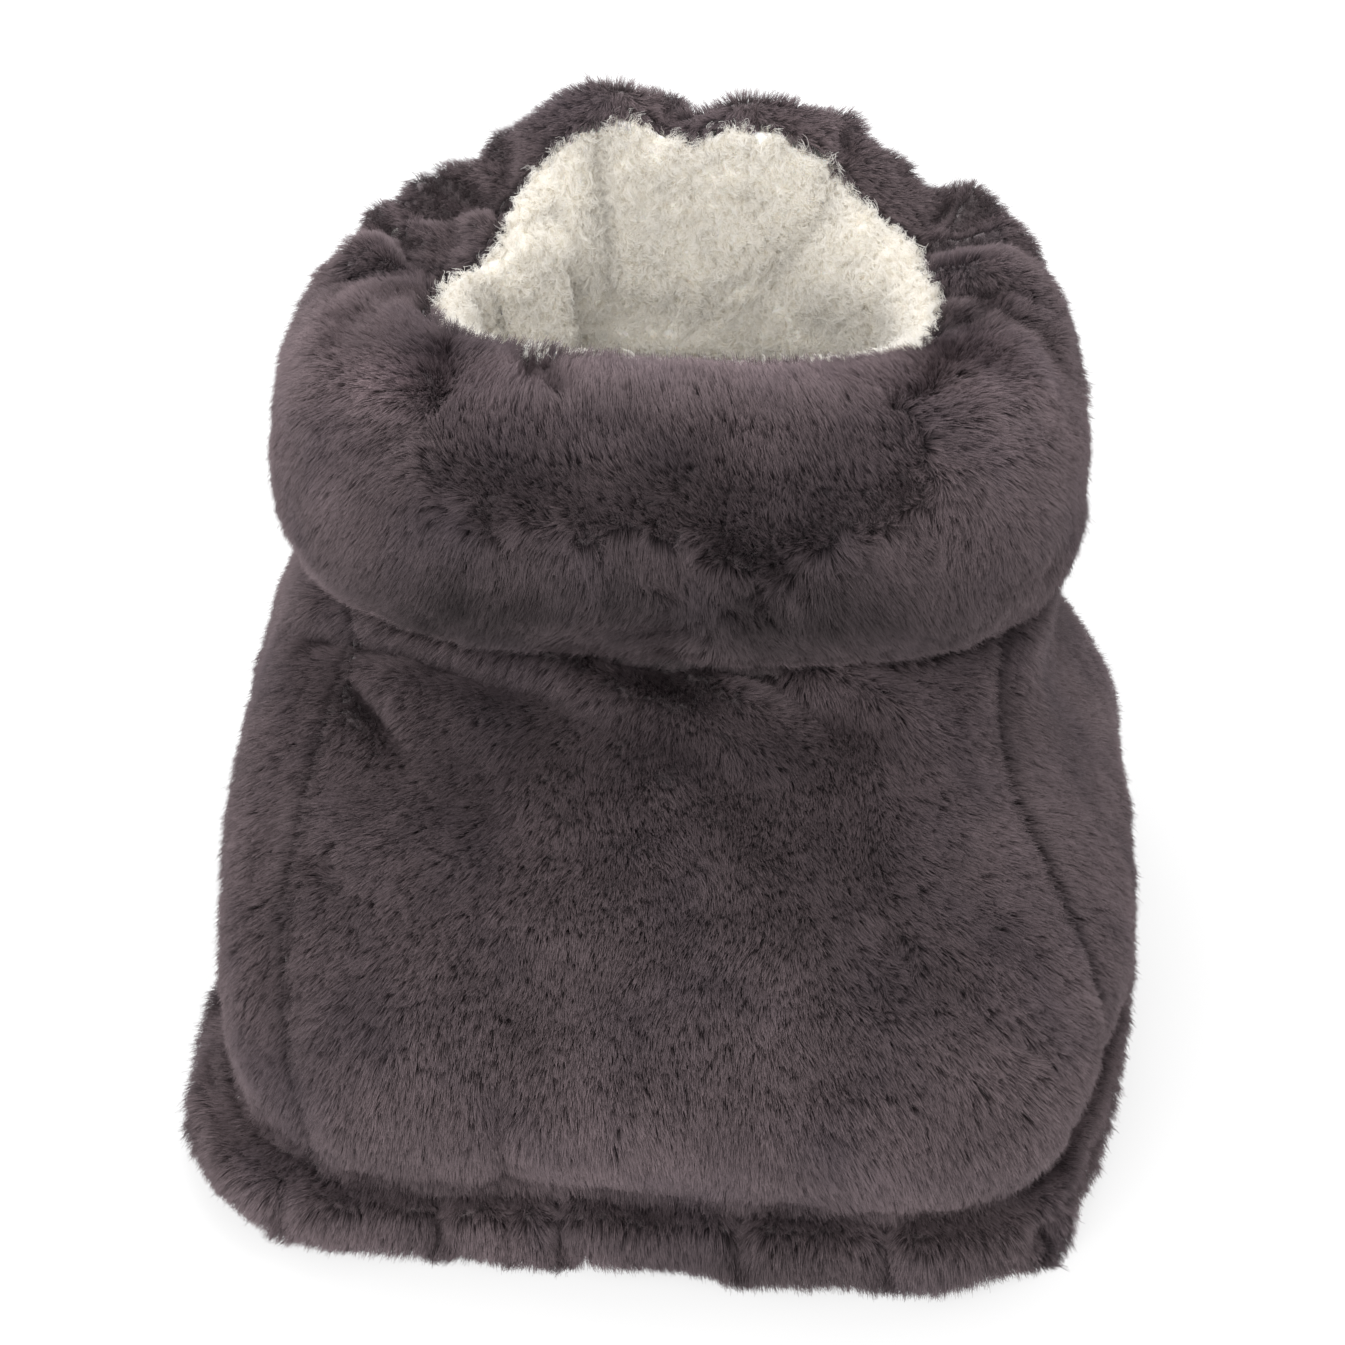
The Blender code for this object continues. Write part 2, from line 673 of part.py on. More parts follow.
def make_heater():
    """Two cloth covers with the heating wire, its thermostat, thermal fuse and leads between them."""
    outline = rounded_outline(pad_width, pad_depth, pad_corner)
    half = pad_cover_thickness / 2
    for name, middle in (("heater_cover_bottom", pad_bottom + half), ("heater_cover_top", pad_top - half)):
        as_mesh(plate(name, [outline], pad_cover_thickness, "pad_cloth", (0, 0, middle)), "pad_cloth")
    thermostat_x = inlet_x + pin_spacing
    fuse_x = inlet_x - pin_spacing
    parts_y = pad_depth / 2 - pad_corner
    thermostat_front = parts_y - thermostat_length / 2 - fit_gap
    fuse_front = parts_y - fuse_length / 2 - fit_gap
    wire_z = pad_bottom + pad_cover_thickness + fit_gap + wire_radius
    lane_y = thermostat_front - wire_run_pitch
    run_right = thermostat_x
    run_left = wire_run_pitch + wire_margin - pad_width / 2
    corners = [(run_right, thermostat_front, wire_z)]
    side = run_right
    for run in range(wire_run_count):
        y = lane_y - (run + 1) * wire_run_pitch
        corners.append((side, y, wire_z))
        side = run_left if side == run_right else run_right
        corners.append((side, y, wire_z))
    corners[-1] = (run_left - wire_run_pitch, y, wire_z)
    corners.append((run_left - wire_run_pitch, lane_y, wire_z))
    corners.append((fuse_x, lane_y, wire_z))
    corners.append((fuse_x, fuse_front, wire_z))
    points = rounded_route(corners, wire_run_pitch / 2 - fit_gap)
    print(f"heating_wire: least gap to itself {least_gap(points, wire_radius) * 1000:.1f} mm")
    wire("heating_wire", points, wire_radius, "wire_sleeve")
    height = pad_space - 2 * fit_gap
    box("thermostat", (thermostat_x, parts_y, pad_middle), (thermostat_width, thermostat_length, height),
        "black_plastic", bevel=thermostat_bevel)
    fuse_z = pad_bottom + pad_cover_thickness + fit_gap + fuse_radius
    cylinder("thermal_fuse", (fuse_x, parts_y - fuse_length / 2, fuse_z),
             (fuse_x, parts_y + fuse_length / 2, fuse_z), fuse_radius, 12, "pad_cloth")
    tail_y = inlet_inner_y - pin_tail - fit_gap
    for name, x, rear, pin_side in (
        ("lead_wire_right", thermostat_x, parts_y + thermostat_length / 2, 1),
        ("lead_wire_left", fuse_x, parts_y + fuse_length / 2, -1),
    ):
        start = Vector((x, rear + fit_gap, pad_middle))
        end = Vector((inlet_x + pin_side * pin_spacing / 2, tail_y, pad_middle))
        bend = Vector((0, (end.y - start.y) / 3, 0))
        steps = 8
        leave, arrive = start + bend, end - bend
        route = [start * (1 - t) ** 3 + 3 * t * (1 - t) * (leave * (1 - t) + arrive * t) + end * t**3
                 for t in (i / steps for i in range(steps + 1))]
        wire(name, route, lead_radius, "wire_sleeve")


def make_inlet():
    """Socket in the rear of the trim: housing with a flange and a recess, gasket and two contact pins."""
    inner_y = inlet_inner_y
    face_y = inlet_face_y + gasket_thickness + 2 * fit_gap
    depth = face_y - inner_y
    middle_y = (face_y + inner_y) / 2
    sleeve = as_mesh(plate("inlet_sleeve", [rounded_outline(inlet_width, inlet_height, inlet_corner)],
                           depth + sleeve_overlap, None,
                           (inlet_x, middle_y + sleeve_overlap / 2, pad_middle), True, tools), None, tools)
    flange_y = face_y + inlet_flange_thickness / 2
    housing = as_mesh(plate("inlet_housing",
                            [rounded_outline(inlet_flange_width, inlet_flange_height, inlet_corner)],
                            inlet_flange_thickness, "black_plastic", (inlet_x, flange_y, pad_middle), True),
                      "black_plastic")
    boolean(housing, sleeve, "UNION")
    socket_y = face_y + inlet_flange_thickness - socket_depth
    recess = box("socket_recess", (inlet_x, socket_y + (socket_depth + overrun) / 2, pad_middle),
                 (socket_width, socket_depth + overrun, socket_height), None, tools)
    boolean(housing, recess, "DIFFERENCE")
    for side, name in ((-1, "left"), (1, "right")):
        x = inlet_x + side * pin_spacing / 2
        bore = cylinder(f"pin_bore_{name}", (x, inner_y - overrun, pad_middle),
                        (x, socket_y + overrun, pad_middle), pin_radius + fit_gap, 12, None, tools)
        boolean(housing, bore, "DIFFERENCE")
        tail_y = inner_y - pin_tail
        cylinder(f"inlet_pin_{name}", (x, tail_y, pad_middle), (x, tail_y + pin_length, pad_middle),
                 pin_radius, 12, "plated_brass")
    gap = 2 * fit_gap
    gasket = plate("inlet_gasket",
                   [rounded_outline(inlet_flange_width - gap, inlet_flange_height - gap, inlet_corner),
                    rounded_outline(inlet_width + gap, inlet_height + gap, inlet_corner)],
                   gasket_thickness, "gasket_rubber",
                   (inlet_x, inlet_face_y + fit_gap + gasket_thickness / 2, pad_middle), True)
    as_mesh(gasket, "gasket_rubber")


# The zip's plane and the middle of its teeth
zip_y = heel_reach * upper_station_shares[0][2] - zip_face_inset
zip_middle_z = upper_bottom_z + zip_window_height / 2
comb_end = tooth_pitch * tooth_count / 2
slider_x = comb_end + slider_length / 2 - slider_overlap


def tooth_comb(name, up, shift):
    """One row of teeth along its backbone, as one outline."""
    left, right = -comb_end, comb_end
    tip = tooth_depth / 2 - fit_gap
    root = -tooth_depth / 2
    half = tooth_pitch / 4 - fit_gap / 2
    outline = [(left, root - tooth_backbone), (right, root - tooth_backbone), (right, root)]
    for tooth in range(tooth_count):
        middle = right - (tooth + shift) * tooth_pitch
        shoulder = half * tooth_taper
        outline += [(middle + half, root), (middle + shoulder, tip),
                    (middle - shoulder, tip), (middle - half, root)]
    outline.append((left, root))
    placed = [(u, up * v) for u, v in outline]
    centre = (0, zip_y - zip_tape_thickness / 2, zip_middle_z)
    return as_mesh(plate(name, [placed], tooth_thickness, "zip_nylon", centre, True), "zip_nylon")


def make_zip():
    """A moulded zip: two tapes, two rows of teeth, end stops, slider and pull."""
    tape_y = zip_y - zip_tape_thickness / 2
    edge = tooth_depth / 2 + tooth_backbone + fit_gap
    reach = zip_window_height / 2 - fit_gap
    for up, side, shift in ((1, "upper", 0.25), (-1, "lower", 0.75)):
        box(f"zip_tape_{side}", (0, tape_y, zip_middle_z + up * (edge + reach) / 2),
            (2 * zip_half_length, zip_tape_thickness, reach - edge), "zip_tape")
        tooth_comb(f"zip_teeth_{side}", -up, shift)
        box(f"zip_top_stop_{side}", (slider_x + slider_length / 2 + stop_width / 2 + fit_gap, tape_y,
                                     zip_middle_z + up * (edge - fit_gap - tooth_backbone / 2)),
            (stop_width, tooth_thickness, tooth_backbone), "zip_metal")
    box("zip_bottom_stop", (-comb_end - stop_width / 2 - fit_gap, tape_y, zip_middle_z),
        (stop_width, tooth_thickness, 2 * (edge - fit_gap)), "zip_metal")
    make_slider(tape_y)


def make_slider(tape_y):
    slider = bpy.data.objects.new("slider_place", None)
    slider.location = (slider_x, tape_y, zip_middle_z)
    boot.objects.link(slider)
    plate_at = tooth_thickness / 2 + fit_gap + slider_plate / 2
    lip_from = zip_tape_thickness / 2 + fit_gap
    lip_depth = plate_at - lip_from
    body = box("zip_slider", (0, plate_at, 0), (slider_length, slider_plate, slider_height), "zip_metal")
    blocks = [
        ("inner_plate", (0, -plate_at, 0), (slider_length, slider_plate, slider_height)),
        ("bridge", (slider_length / 2 - slider_plate, 0, 0), (slider_plate, 2 * plate_at, 2 * slider_plate)),
    ]
    for side in (-1, 1):
        lip_z = side * (slider_height - slider_lip) / 2
        for face in (-1, 1):
            blocks.append((f"lip_{side}_{face}", (0, face * (lip_from + lip_depth / 2), lip_z),
                           (slider_length - slider_nest, lip_depth, slider_lip - slider_nest)))
        blocks.append((f"lug_leg_{side}", (side * (lug_length - lug_bar) / 2, plate_at + lug_rise / 2, 0),
                       (lug_bar, lug_rise, lug_width)))
    blocks.append(("lug_bar", (0, plate_at + lug_rise, 0), (lug_length, lug_bar, lug_width + slider_nest)))
    body.parent = slider
    for name, centre, size in blocks:
        block = box(name, centre, size, None, tools)
        block.parent = slider
        boolean(body, block, "UNION")
    make_pull(slider, plate_at + slider_plate / 2 + (lug_rise - slider_plate / 2 - lug_bar / 2) / 2)


def make_pull(slider, hinge_out):
    """Pull tab with a slot at its hinge end; it lies over the closed teeth."""
    hinge = bpy.data.objects.new("pull_hinge", None)
    hinge.location = (0, hinge_out, 0)
    hinge.parent = slider
    boot.objects.link(hinge)
    outer = rounded_outline(pull_length, pull_width, pull_corner)
    slot = rounded_outline(lug_length, pull_slot_width, pull_slot_corner, 2)
    outlines = [[(u + (pull_bar - pull_length) / 2, v) for u, v in outer],
                [(u - (pull_bar + lug_length) / 2, v) for u, v in slot]]
    pull = as_mesh(plate("zip_pull", outlines, pull_thickness, "zip_metal", (0, 0, 0), True), "zip_metal")
    pull.parent = hinge
    hinge_y = zip_y - zip_tape_thickness / 2 + hinge_out
    print(f"zip: slider at x {slider_x:.4f}, hinge at y {hinge_y:.5f}, z {zip_middle_z:.4f}")


make_upper()
make_cuff()
make_trim()
make_sole()
make_heater()
make_inlet()
make_zip()
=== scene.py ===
"""The dressed plush foot warmer: faux fur outside, curly sherpa inside, and the small parts at the back."""

import math

import bmesh
import bpy
import numpy as np
from mathutils import Matrix, Vector
from mathutils.bvhtree import BVHTree


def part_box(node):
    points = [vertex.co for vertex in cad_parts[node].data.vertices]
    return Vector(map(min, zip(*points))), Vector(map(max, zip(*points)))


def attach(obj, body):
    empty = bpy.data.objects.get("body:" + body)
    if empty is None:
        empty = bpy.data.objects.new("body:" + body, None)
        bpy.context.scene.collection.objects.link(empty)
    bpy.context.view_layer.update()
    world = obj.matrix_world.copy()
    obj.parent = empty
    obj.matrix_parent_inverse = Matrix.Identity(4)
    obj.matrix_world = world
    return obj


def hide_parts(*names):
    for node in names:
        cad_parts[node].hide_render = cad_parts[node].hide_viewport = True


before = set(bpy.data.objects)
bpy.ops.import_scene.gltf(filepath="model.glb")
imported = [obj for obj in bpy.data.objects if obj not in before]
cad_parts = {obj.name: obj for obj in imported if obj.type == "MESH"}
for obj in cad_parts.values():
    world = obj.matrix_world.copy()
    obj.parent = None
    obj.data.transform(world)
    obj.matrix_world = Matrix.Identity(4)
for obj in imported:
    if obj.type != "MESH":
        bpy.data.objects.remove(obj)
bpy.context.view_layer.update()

scene = bpy.context.scene
ROOT = "boot"

# The photograph's frame and the camera that matches it
PHOTO_SIDE = 1345
CAMERA_AZIMUTH = -4.92
CAMERA_ELEVATION = 38.7
CAMERA_DISTANCE = 1.60
CAMERA_TARGET = Vector((0.0, -0.0057, 0.12))
FOCAL_PX = 4682.6
CENTRE_PX = (671.8, 720.5)
SENSOR_MM = 36.0

# Fur, in metres and degrees. Waves and noise are amount, size and seed; COMB_WAVES names the axis first
FUR_LENGTH = 0.0062
FUR_PER_MM2 = 1.1
FUR_CHILDREN = 6
FUR_STEPS = 5
FUR_RADII = (0.000072, 0.000028)
FUR_SPREAD = 1.35
FUR_GATHER = 0.34
FUR_WILD = 0.0004
FUR_LEAN = 44
FUR_LEAN_NOISE = (12, 0.020, 21)
FUR_LEAN_SPREAD = 6
FUR_LEAN_LIMITS = (8, 75)
FUR_UPRIGHT = 10
FUR_SINK = 0.0036
FUR_BACKING = 0.0025
FUR_OPEN_ROOM = 0.014
FUR_TUFTS = ((0.0004, 0.004), (0.0008, 0.011), (0.0012, 0.030))
RIM_SHORTER = 0.35
RIM_START = (0.075, 0.16)
RIM_FADE = 0.04
CUFF_BRUSH = (0.172, 0.240)
BRUSH_REACH = 0.090
BRUSH_FADE = 0.04
BRUSH_RAGGED = ((0.012, 0.008, 15), (0.008, 0.0035, 16))
COMB_WAVES = ((0, 0.55, 0.034, 11), (0, 0.16, 0.012, 12), (2, 0.55, 0.030, 13), (1, 0.45, 0.030, 14))
NAP_WAVES = ((0.12, 0.040, 31), (0.11, 0.014, 32), (0.10, 0.006, 33))
NAP_SPREAD = 0.13
SAMPLED_SHARE = 0.6

# Folds and seams
FOLD_FULL = 0.0070
FOLD_SHADE = 0.34
FOLD_SHORTENS = 0.55
FOLD_DEEPER = 1.45
FOLD_WIDER = 1.4
FOLD_FADE_ROUNDS = 16
FOLD_RUNS_OUT = 0.4
FOLD_END_LOSS = 0.8
FOLD_LEAST = 0.0001
RIDGE_LIGHT = 0.14
SEAM_WIDTH = 0.0040
SEAM_DEPTH = 0.0022
SEAM_STEPS = 6
SEAM_BATCH = 20000
FAR = 1e9

# Sherpa
SHERPA_LENGTH = 0.0034
SHERPA_PER_MM2 = 0.45
SHERPA_CHILDREN = 9
SHERPA_STEPS = 7
SHERPA_RADII = (0.00009, 0.00005)
SHERPA_SPREAD = 1.2
SHERPA_CURL = 0.0008
SHERPA_WILD = 0.0006
SHERPA_OPEN_ROOM = 0.010
SHERPA_TUFT = (0.0024, 0.0075)
SHERPA_SWELL = (0.0016, 0.014)
SCRIM_LIFT = 0.015
FOOTBED_SCRIM_LIFT = -0.07
SCRIM_BELOW = 0.05
SCRIM_FADE = 0.01

# The boot's places, in metres
BODY_MIDDLE_Y = 0.03
CUFF_MIDDLE_Y = 0.084
CUFF_BOTTOM = 0.150
CUFF_BOTTOM_FADE = 0.01
HEEL_INSIDE_Y = 0.118
FLOOR_GAP = 0.0004
SKIN_VOXEL = 0.0022
STUFFING_VOXEL = 0.003
STUFFING_SKIN = 0.02
DOT_TOP = 0.0010
HEATER_HALF = (0.113, 0.107)
QUILT_PITCH = 0.0165
QUILT_RISE = 0.00012
SEWN_LINE = (0.005, 0.0012, 0.0002)
TWILL = (0.00006, 0.0016)

# Light
WORLD_LIGHT = 0.80
LAMP_SIZE = 1.2
LAMPS = (
    ("key", (-0.7, -1.5, 1.4), 25.0),
    ("top", (0.1, 0.7, 1.9), 17.0),
    ("fill", (1.5, -0.8, 0.9), 4.0),
    ("back", (-0.7, 1.7, 1.2), 9.0),
)
LAMPS_AIM = (0, 0, 0.1)
FLOOR_HALF = 4.0
FLOOR_WHITE = 0.92
FLOOR_GLOW_SHARE = 0.72

# Folds that the photograph shows, as paths in its pixels, with depth (m) and width (px); ridges are below 0
CUFF_FOLDS = (
    (((430, 186), (480, 197), (518, 220), (526, 238)), 0.0095, 12),
    (((420, 206), (454, 220), (464, 239), (451, 260)), 0.0070, 11),
    (((372, 216), (403, 239), (435, 251), (458, 268)), 0.0095, 12),
    (((450, 276), (422, 268), (384, 274), (352, 286), (336, 330)), 0.0062, 12),
    (((455, 300), (416, 299), (384, 308), (350, 337), (325, 375), (318, 420)), 0.0026, 12),
    (((521, 360), (522, 388)), 0.0055, 8),
    (((534, 376), (555, 390), (575, 412)), 0.0050, 8),
    (((842, 130), (838, 168)), 0.0055, 9),
    (((985, 205), (940, 218), (905, 235)), 0.0095, 12),
    (((920, 254), (965, 244), (1006, 243), (1036, 270)), 0.0066, 12),
    (((944, 297), (1002, 291), (1040, 312)), 0.0066, 12),
    (((957, 332), (986, 311), (1029, 332), (1050, 371), (1056, 420)), 0.0050, 10),
    (((500, 124), (510, 165), (520, 205)), 0.0060, 11),
    (((668, 96), (668, 128)), 0.0065, 11),
    (((914, 148), (898, 182)), 0.0070, 10),
    (((440, 208), (500, 232)), -0.0020, 12),
    (((400, 222), (442, 254)), -0.0020, 12),
    (((345, 245), (395, 258), (440, 268)), -0.0030, 15),
    (((318, 410), (342, 322), (388, 290), (440, 288)), -0.0030, 13),
    (((930, 240), (980, 226), (1022, 240)), -0.0025, 13),
    (((938, 273), (1000, 267), (1048, 302)), -0.0030, 14),
    (((952, 313), (1000, 302), (1045, 345)), -0.0025, 13),
)
UPPER_FOLDS = (
    (((330, 637), (417, 651), (490, 678), (575, 700)), 0.0048, 14),
    (((358, 685), (390, 722), (425, 768)), 0.0036, 13),
    (((735, 667), (770, 688), (830, 728)), 0.0044, 13),
    (((600, 660), (680, 672), (760, 695)), 0.0030, 15),
    (((335, 612), (440, 636), (560, 662), (650, 705), (760, 755)), -0.0042, 16),
    (((817, 676), (860, 694), (950, 740)), -0.0034, 13),
    (((700, 680), (750, 706), (800, 732)), -0.0018, 11),
    (((500, 1100), (503, 1150), (500, 1195)), 0.0028, 11),
    (((335, 865), (352, 872)), 0.0040, 8),
    (((285, 1158), (312, 1196)), 0.0026, 5),
    (((866, 985), (874, 1010)), 0.0030, 5),
    (((893, 950), (905, 978)), 0.0026, 5),
    (((1012, 1040), (1062, 1082)), 0.0030, 6),
    (((400, 560), (470, 640)), -0.0020, 40),
)
TRIM_FOLDS = (
    (((438, 1196), (443, 1250)), 0.0056, 10),
    (((508, 1190), (512, 1250)), 0.0042, 8),
    (((556, 1195), (560, 1262)), 0.0064, 10),
    (((740, 1205), (742, 1275)), 0.0072, 10),
    (((884, 1222), (890, 1290)), 0.0070, 10),
    (((1036, 1222), (1042, 1285)), 0.0072, 10),
    (((205, 1130), (188, 1142)), 0.0040, 8),
    (((292, 1196), (282, 1240)), 0.0035, 8),
    (((1062, 1240), (1100, 1180), (1125, 1100), (1130, 1040)), 0.0036, 22),
    (((222, 985), (204, 1020), (196, 1050)), 0.0040, 20),
)
LINING_FOLDS = (
    (((600, 150), (604, 223), (613, 332)), 0.0050, 12),
    (((831, 180), (831, 216), (788, 262), (749, 332)), 0.0050, 12),
    (((545, 205), (575, 260), (585, 330)), -0.0050, 26),
    (((850, 250), (880, 300), (890, 335)), -0.0060, 34),
    (((548, 215), (520, 232)), 0.0040, 8),
    (((905, 215), (880, 250)), 0.0030, 9),
    (((500, 338), (600, 345), (760, 346), (900, 346)), -0.0034, 13),
)

# Where the soft pieces sag or stand up against the even solids: centre, reach and shift, in metres
NUDGES = (
    ((-0.095, 0.125, 0.250), (0.030, 0.050, 0.060), (0.0, 0.0, -0.009)),
    ((-0.048, 0.150, 0.265), (0.022, 0.035, 0.050), (0.0, 0.0, 0.007)),
    ((0.074, 0.135, 0.250), (0.024, 0.050, 0.060), (0.0, 0.0, -0.008)),
    ((0.128, 0.070, 0.148), (0.030, 0.060, 0.028), (0.010, 0.0, 0.0)),
    ((-0.105, -0.150, 0.020), (0.050, 0.030, 0.040), (0.0, -0.007, 0.0)),
    ((0.150, -0.110, 0.020), (0.030, 0.050, 0.050), (-0.007, 0.0, 0.0)),
    ((-0.155, -0.030, 0.020), (0.030, 0.060, 0.050), (0.008, 0.0, 0.0)),
    ((0.145, 0.070, 0.085), (0.035, 0.070, 0.045), (-0.009, 0.0, 0.0)),
)

# Painted highlight and painted shade on the pile's colour, as centre and reach in the photograph's pixels:
# painted highlight above 0, painted shade below
PAINTED_LIGHT_PATCHES = (
    ((720, 500), (200, 60), -0.16),
    ((560, 560), (150, 45), -0.12),
    ((760, 612), (240, 36), -0.20),
    ((470, 600), (130, 30), -0.12),
    ((345, 480), (75, 100), 0.10),
    ((420, 330), (90, 45), 0.12),
    ((1010, 450), (60, 90), 0.10),
    ((720, 385), (270, 30), 0.60),
    ((640, 740), (210, 60), -0.14),
    ((430, 760), (50, 50), -0.10),
    ((820, 900), (160, 80), -0.06),
    ((480, 900), (110, 110), 0.06),
    ((650, 1140), (280, 50), 0.10),
    ((330, 1235), (140, 30), 0.22),
    ((830, 1250), (230, 40), -0.20),
    ((1080, 620), (30, 60), 0.12),
    ((600, 105), (110, 40), 0.30),
    ((820, 125), (120, 40), 0.30),
    ((400, 235), (90, 60), 0.26),
    ((1000, 260), (60, 70), 0.20),
    ((760, 640), (170, 22), -0.18),
    ((470, 596), (120, 44), -0.50),
    ((800, 592), (220, 42), -0.47),
    ((396, 388), (40, 26), 0.80),
    ((480, 415), (80, 36), 0.22),
)


def camera_axes():
    az, el = math.radians(CAMERA_AZIMUTH), math.radians(CAMERA_ELEVATION)
    forward = Vector((math.sin(az) * math.cos(el), math.cos(az) * math.cos(el), -math.sin(el)))
    right = Vector((math.cos(az), -math.sin(az), 0.0))
    return right, right.cross(forward), forward


def to_photo(points):
    """Where points fall in the photograph, in its pixels."""
    right, up, forward = (np.array(v) for v in camera_axes())
    eye = np.array(CAMERA_TARGET) - forward * CAMERA_DISTANCE
    from_eye = points - eye
    depth = from_eye @ forward
    return np.stack([
        CENTRE_PX[0] + FOCAL_PX * (from_eye @ right) / depth,
        CENTRE_PX[1] - FOCAL_PX * (from_eye @ up) / depth,
    ], axis=1)


def make_camera():
    camera = bpy.data.objects.new("camera", bpy.data.cameras.new("camera"))
    scene.collection.objects.link(camera)
    right, up, forward = camera_axes()
    camera.matrix_world = Matrix((
        (right.x, up.x, -forward.x, 0.0),
        (right.y, up.y, -forward.y, 0.0),
        (right.z, up.z, -forward.z, 0.0),
        (0.0, 0.0, 0.0, 1.0),
    ))
    camera.location = CAMERA_TARGET - forward * CAMERA_DISTANCE
    camera.data.sensor_width = SENSOR_MM
    camera.data.lens = FOCAL_PX / PHOTO_SIDE * SENSOR_MM
    camera.data.shift_x = (PHOTO_SIDE / 2 - CENTRE_PX[0]) / PHOTO_SIDE
    camera.data.shift_y = (CENTRE_PX[1] - PHOTO_SIDE / 2) / PHOTO_SIDE
    camera.data.clip_end = 100.0
    scene.camera = camera


# Node helpers

def new_material(name):
    material = bpy.data.materials.new(name)
    material.use_nodes = True
    tree = material.node_tree
    return material, tree, tree.nodes["Principled BSDF"]


def add(tree, kind, **settings):
    node = tree.nodes.new(kind)
    for key, value in settings.items():
        if key in node.inputs:
            node.inputs[key].default_value = value
        else:
            setattr(node, key, value)
    return node


def ramp(tree, factor, stops):
    node = tree.nodes.new("ShaderNodeValToRGB")
    elements = node.color_ramp.elements
    while len(elements) < len(stops):
        elements.new(0.5)
    for element, (at, colour) in zip(elements, stops):
        element.position = at
        element.color = (*colour, 1.0)
    tree.links.new(factor, node.inputs["Fac"])
    return node.outputs["Color"]


def mix(tree, factor, a, b, blend="MIX"):
    node = tree.nodes.new("ShaderNodeMix")
    node.data_type = "RGBA"
    node.blend_type = blend
    for socket, value in ((node.inputs["Factor"], factor), (node.inputs["A"], a), (node.inputs["B"], b)):
        if isinstance(value, bpy.types.NodeSocket):
            tree.links.new(value, socket)
        else:
            socket.default_value = value if isinstance(value, float) else (*value, 1.0)
    return node.outputs["Result"]


def noise(tree, scale, detail=3.0, coordinates=None, rough=0.55):
    node = add(tree, "ShaderNodeTexNoise", Scale=scale, Detail=detail, Roughness=rough)
    if coordinates is None:
        coordinates = tree.nodes.new("ShaderNodeTexCoord").outputs["Object"]
    tree.links.new(coordinates, node.inputs["Vector"])
    return node.outputs["Fac"]


def linear(*rgb):
    """An sRGB colour, 0 to 255, as Blender's linear values."""
    out = []
    for value in rgb:
        value /= 255
        out.append(value / 12.92 if value <= 0.04045 else ((value + 0.055) / 1.055) ** 2.4)
    return tuple(out)


FUR_DEEP = linear(46, 39, 40)
FUR_MID = linear(88, 77, 79)
FUR_TIP = linear(126, 112, 115)
FUR_COOL = linear(72, 65, 74)


def fur_colours(tree, along):
    """Fur's colour: dark at the root, light at the tip, with cool and warm patches a few centimetres wide."""
    body = ramp(tree, along, ((0.0, FUR_DEEP), (0.45, FUR_MID), (1.0, FUR_TIP)))
    patches = noise(tree, 26.0, 3.0)
    cool = mix(tree, ramp(tree, patches, ((0.45, (0, 0, 0)), (0.75, (0.40, 0.40, 0.40)))), body, FUR_COOL)
    shade = add(tree, "ShaderNodeVectorMath", operation="SCALE")
    tree.links.new(cool, shade.inputs["Vector"])
    # The colour is scaled by a per-point attribute that holds random tone, painted highlight and painted
    # shade.
    tone_and_painted_light = add(tree, "ShaderNodeAttribute", attribute_name="tone_and_painted_light")
    tree.links.new(tone_and_painted_light.outputs["Fac"], shade.inputs["Scale"])
    return shade.outputs["Vector"]


def fur_strand_material():
    material, tree, shader = new_material("fur_strands")
    info = tree.nodes.new("ShaderNodeHairInfo")
    tree.links.new(fur_colours(tree, info.outputs["Intercept"]), shader.inputs["Base Color"])
    shader.inputs["Roughness"].default_value = 0.62
    shader.inputs["Specular IOR Level"].default_value = 0.25
    return material


def fur_skin_material():
    """The skin under the strands, which looks like short fur by itself."""
    material, tree, shader = new_material("fur_skin")
    coordinates = tree.nodes.new("ShaderNodeTexCoord").outputs["Object"]
    tufts = noise(tree, 420.0, 4.0, coordinates, 0.7)
    tree.links.new(fur_colours(tree, tufts), shader.inputs["Base Color"])
    shader.inputs["Roughness"].default_value = 0.9
    shader.inputs["Sheen Weight"].default_value = 0.3
    shader.inputs["Sheen Roughness"].default_value = 0.5
    bump = add(tree, "ShaderNodeBump", Strength=0.9, Distance=0.002)
    tree.links.new(tufts, bump.inputs["Height"])
    tree.links.new(bump.outputs["Normal"], shader.inputs["Normal"])
    return material


SHERPA_LIGHT = linear(254, 252, 248)
SHERPA_SHADE = linear(246, 242, 233)


def sherpa_material(name, strands=False, scrim_lift=None):
    """Cream fleece for the strands or the skin under them; a scrim lift backs the skin with taupe knit."""
    material, tree, shader = new_material(name)
    if strands:
        curls = tree.nodes.new("ShaderNodeHairInfo").outputs["Intercept"]
    else:
        curls = noise(tree, 300.0, 4.0)
    colour = ramp(tree, curls, ((0.15, SHERPA_SHADE), (0.75, SHERPA_LIGHT)))
    if scrim_lift is None:
        tree.links.new(colour, shader.inputs["Base Color"])
    else:
        back_with_scrim(tree, shader, colour, scrim_lift, SCRIM_BELOW)
    shader.inputs["Roughness"].default_value = 0.85
    shader.inputs["Specular IOR Level"].default_value = 0.2
    if strands:
        glow = tree.nodes.new("ShaderNodeBsdfTranslucent")
        tree.links.new(colour, glow.inputs["Color"])
        both = add(tree, "ShaderNodeMixShader", Fac=0.45)
        tree.links.new(shader.outputs[0], both.inputs[1])
        tree.links.new(glow.outputs[0], both.inputs[2])
        tree.links.new(both.outputs[0], tree.nodes["Material Output"].inputs["Surface"])
    else:
        shader.inputs["Subsurface Weight"].default_value = 0.35
        shader.inputs["Subsurface Radius"].default_value = (0.006, 0.005, 0.004)
        bump = add(tree, "ShaderNodeBump", Strength=0.8, Distance=0.0015)
        tree.links.new(curls, bump.inputs["Height"])
        tree.links.new(bump.outputs["Normal"], shader.inputs["Normal"])
    return material


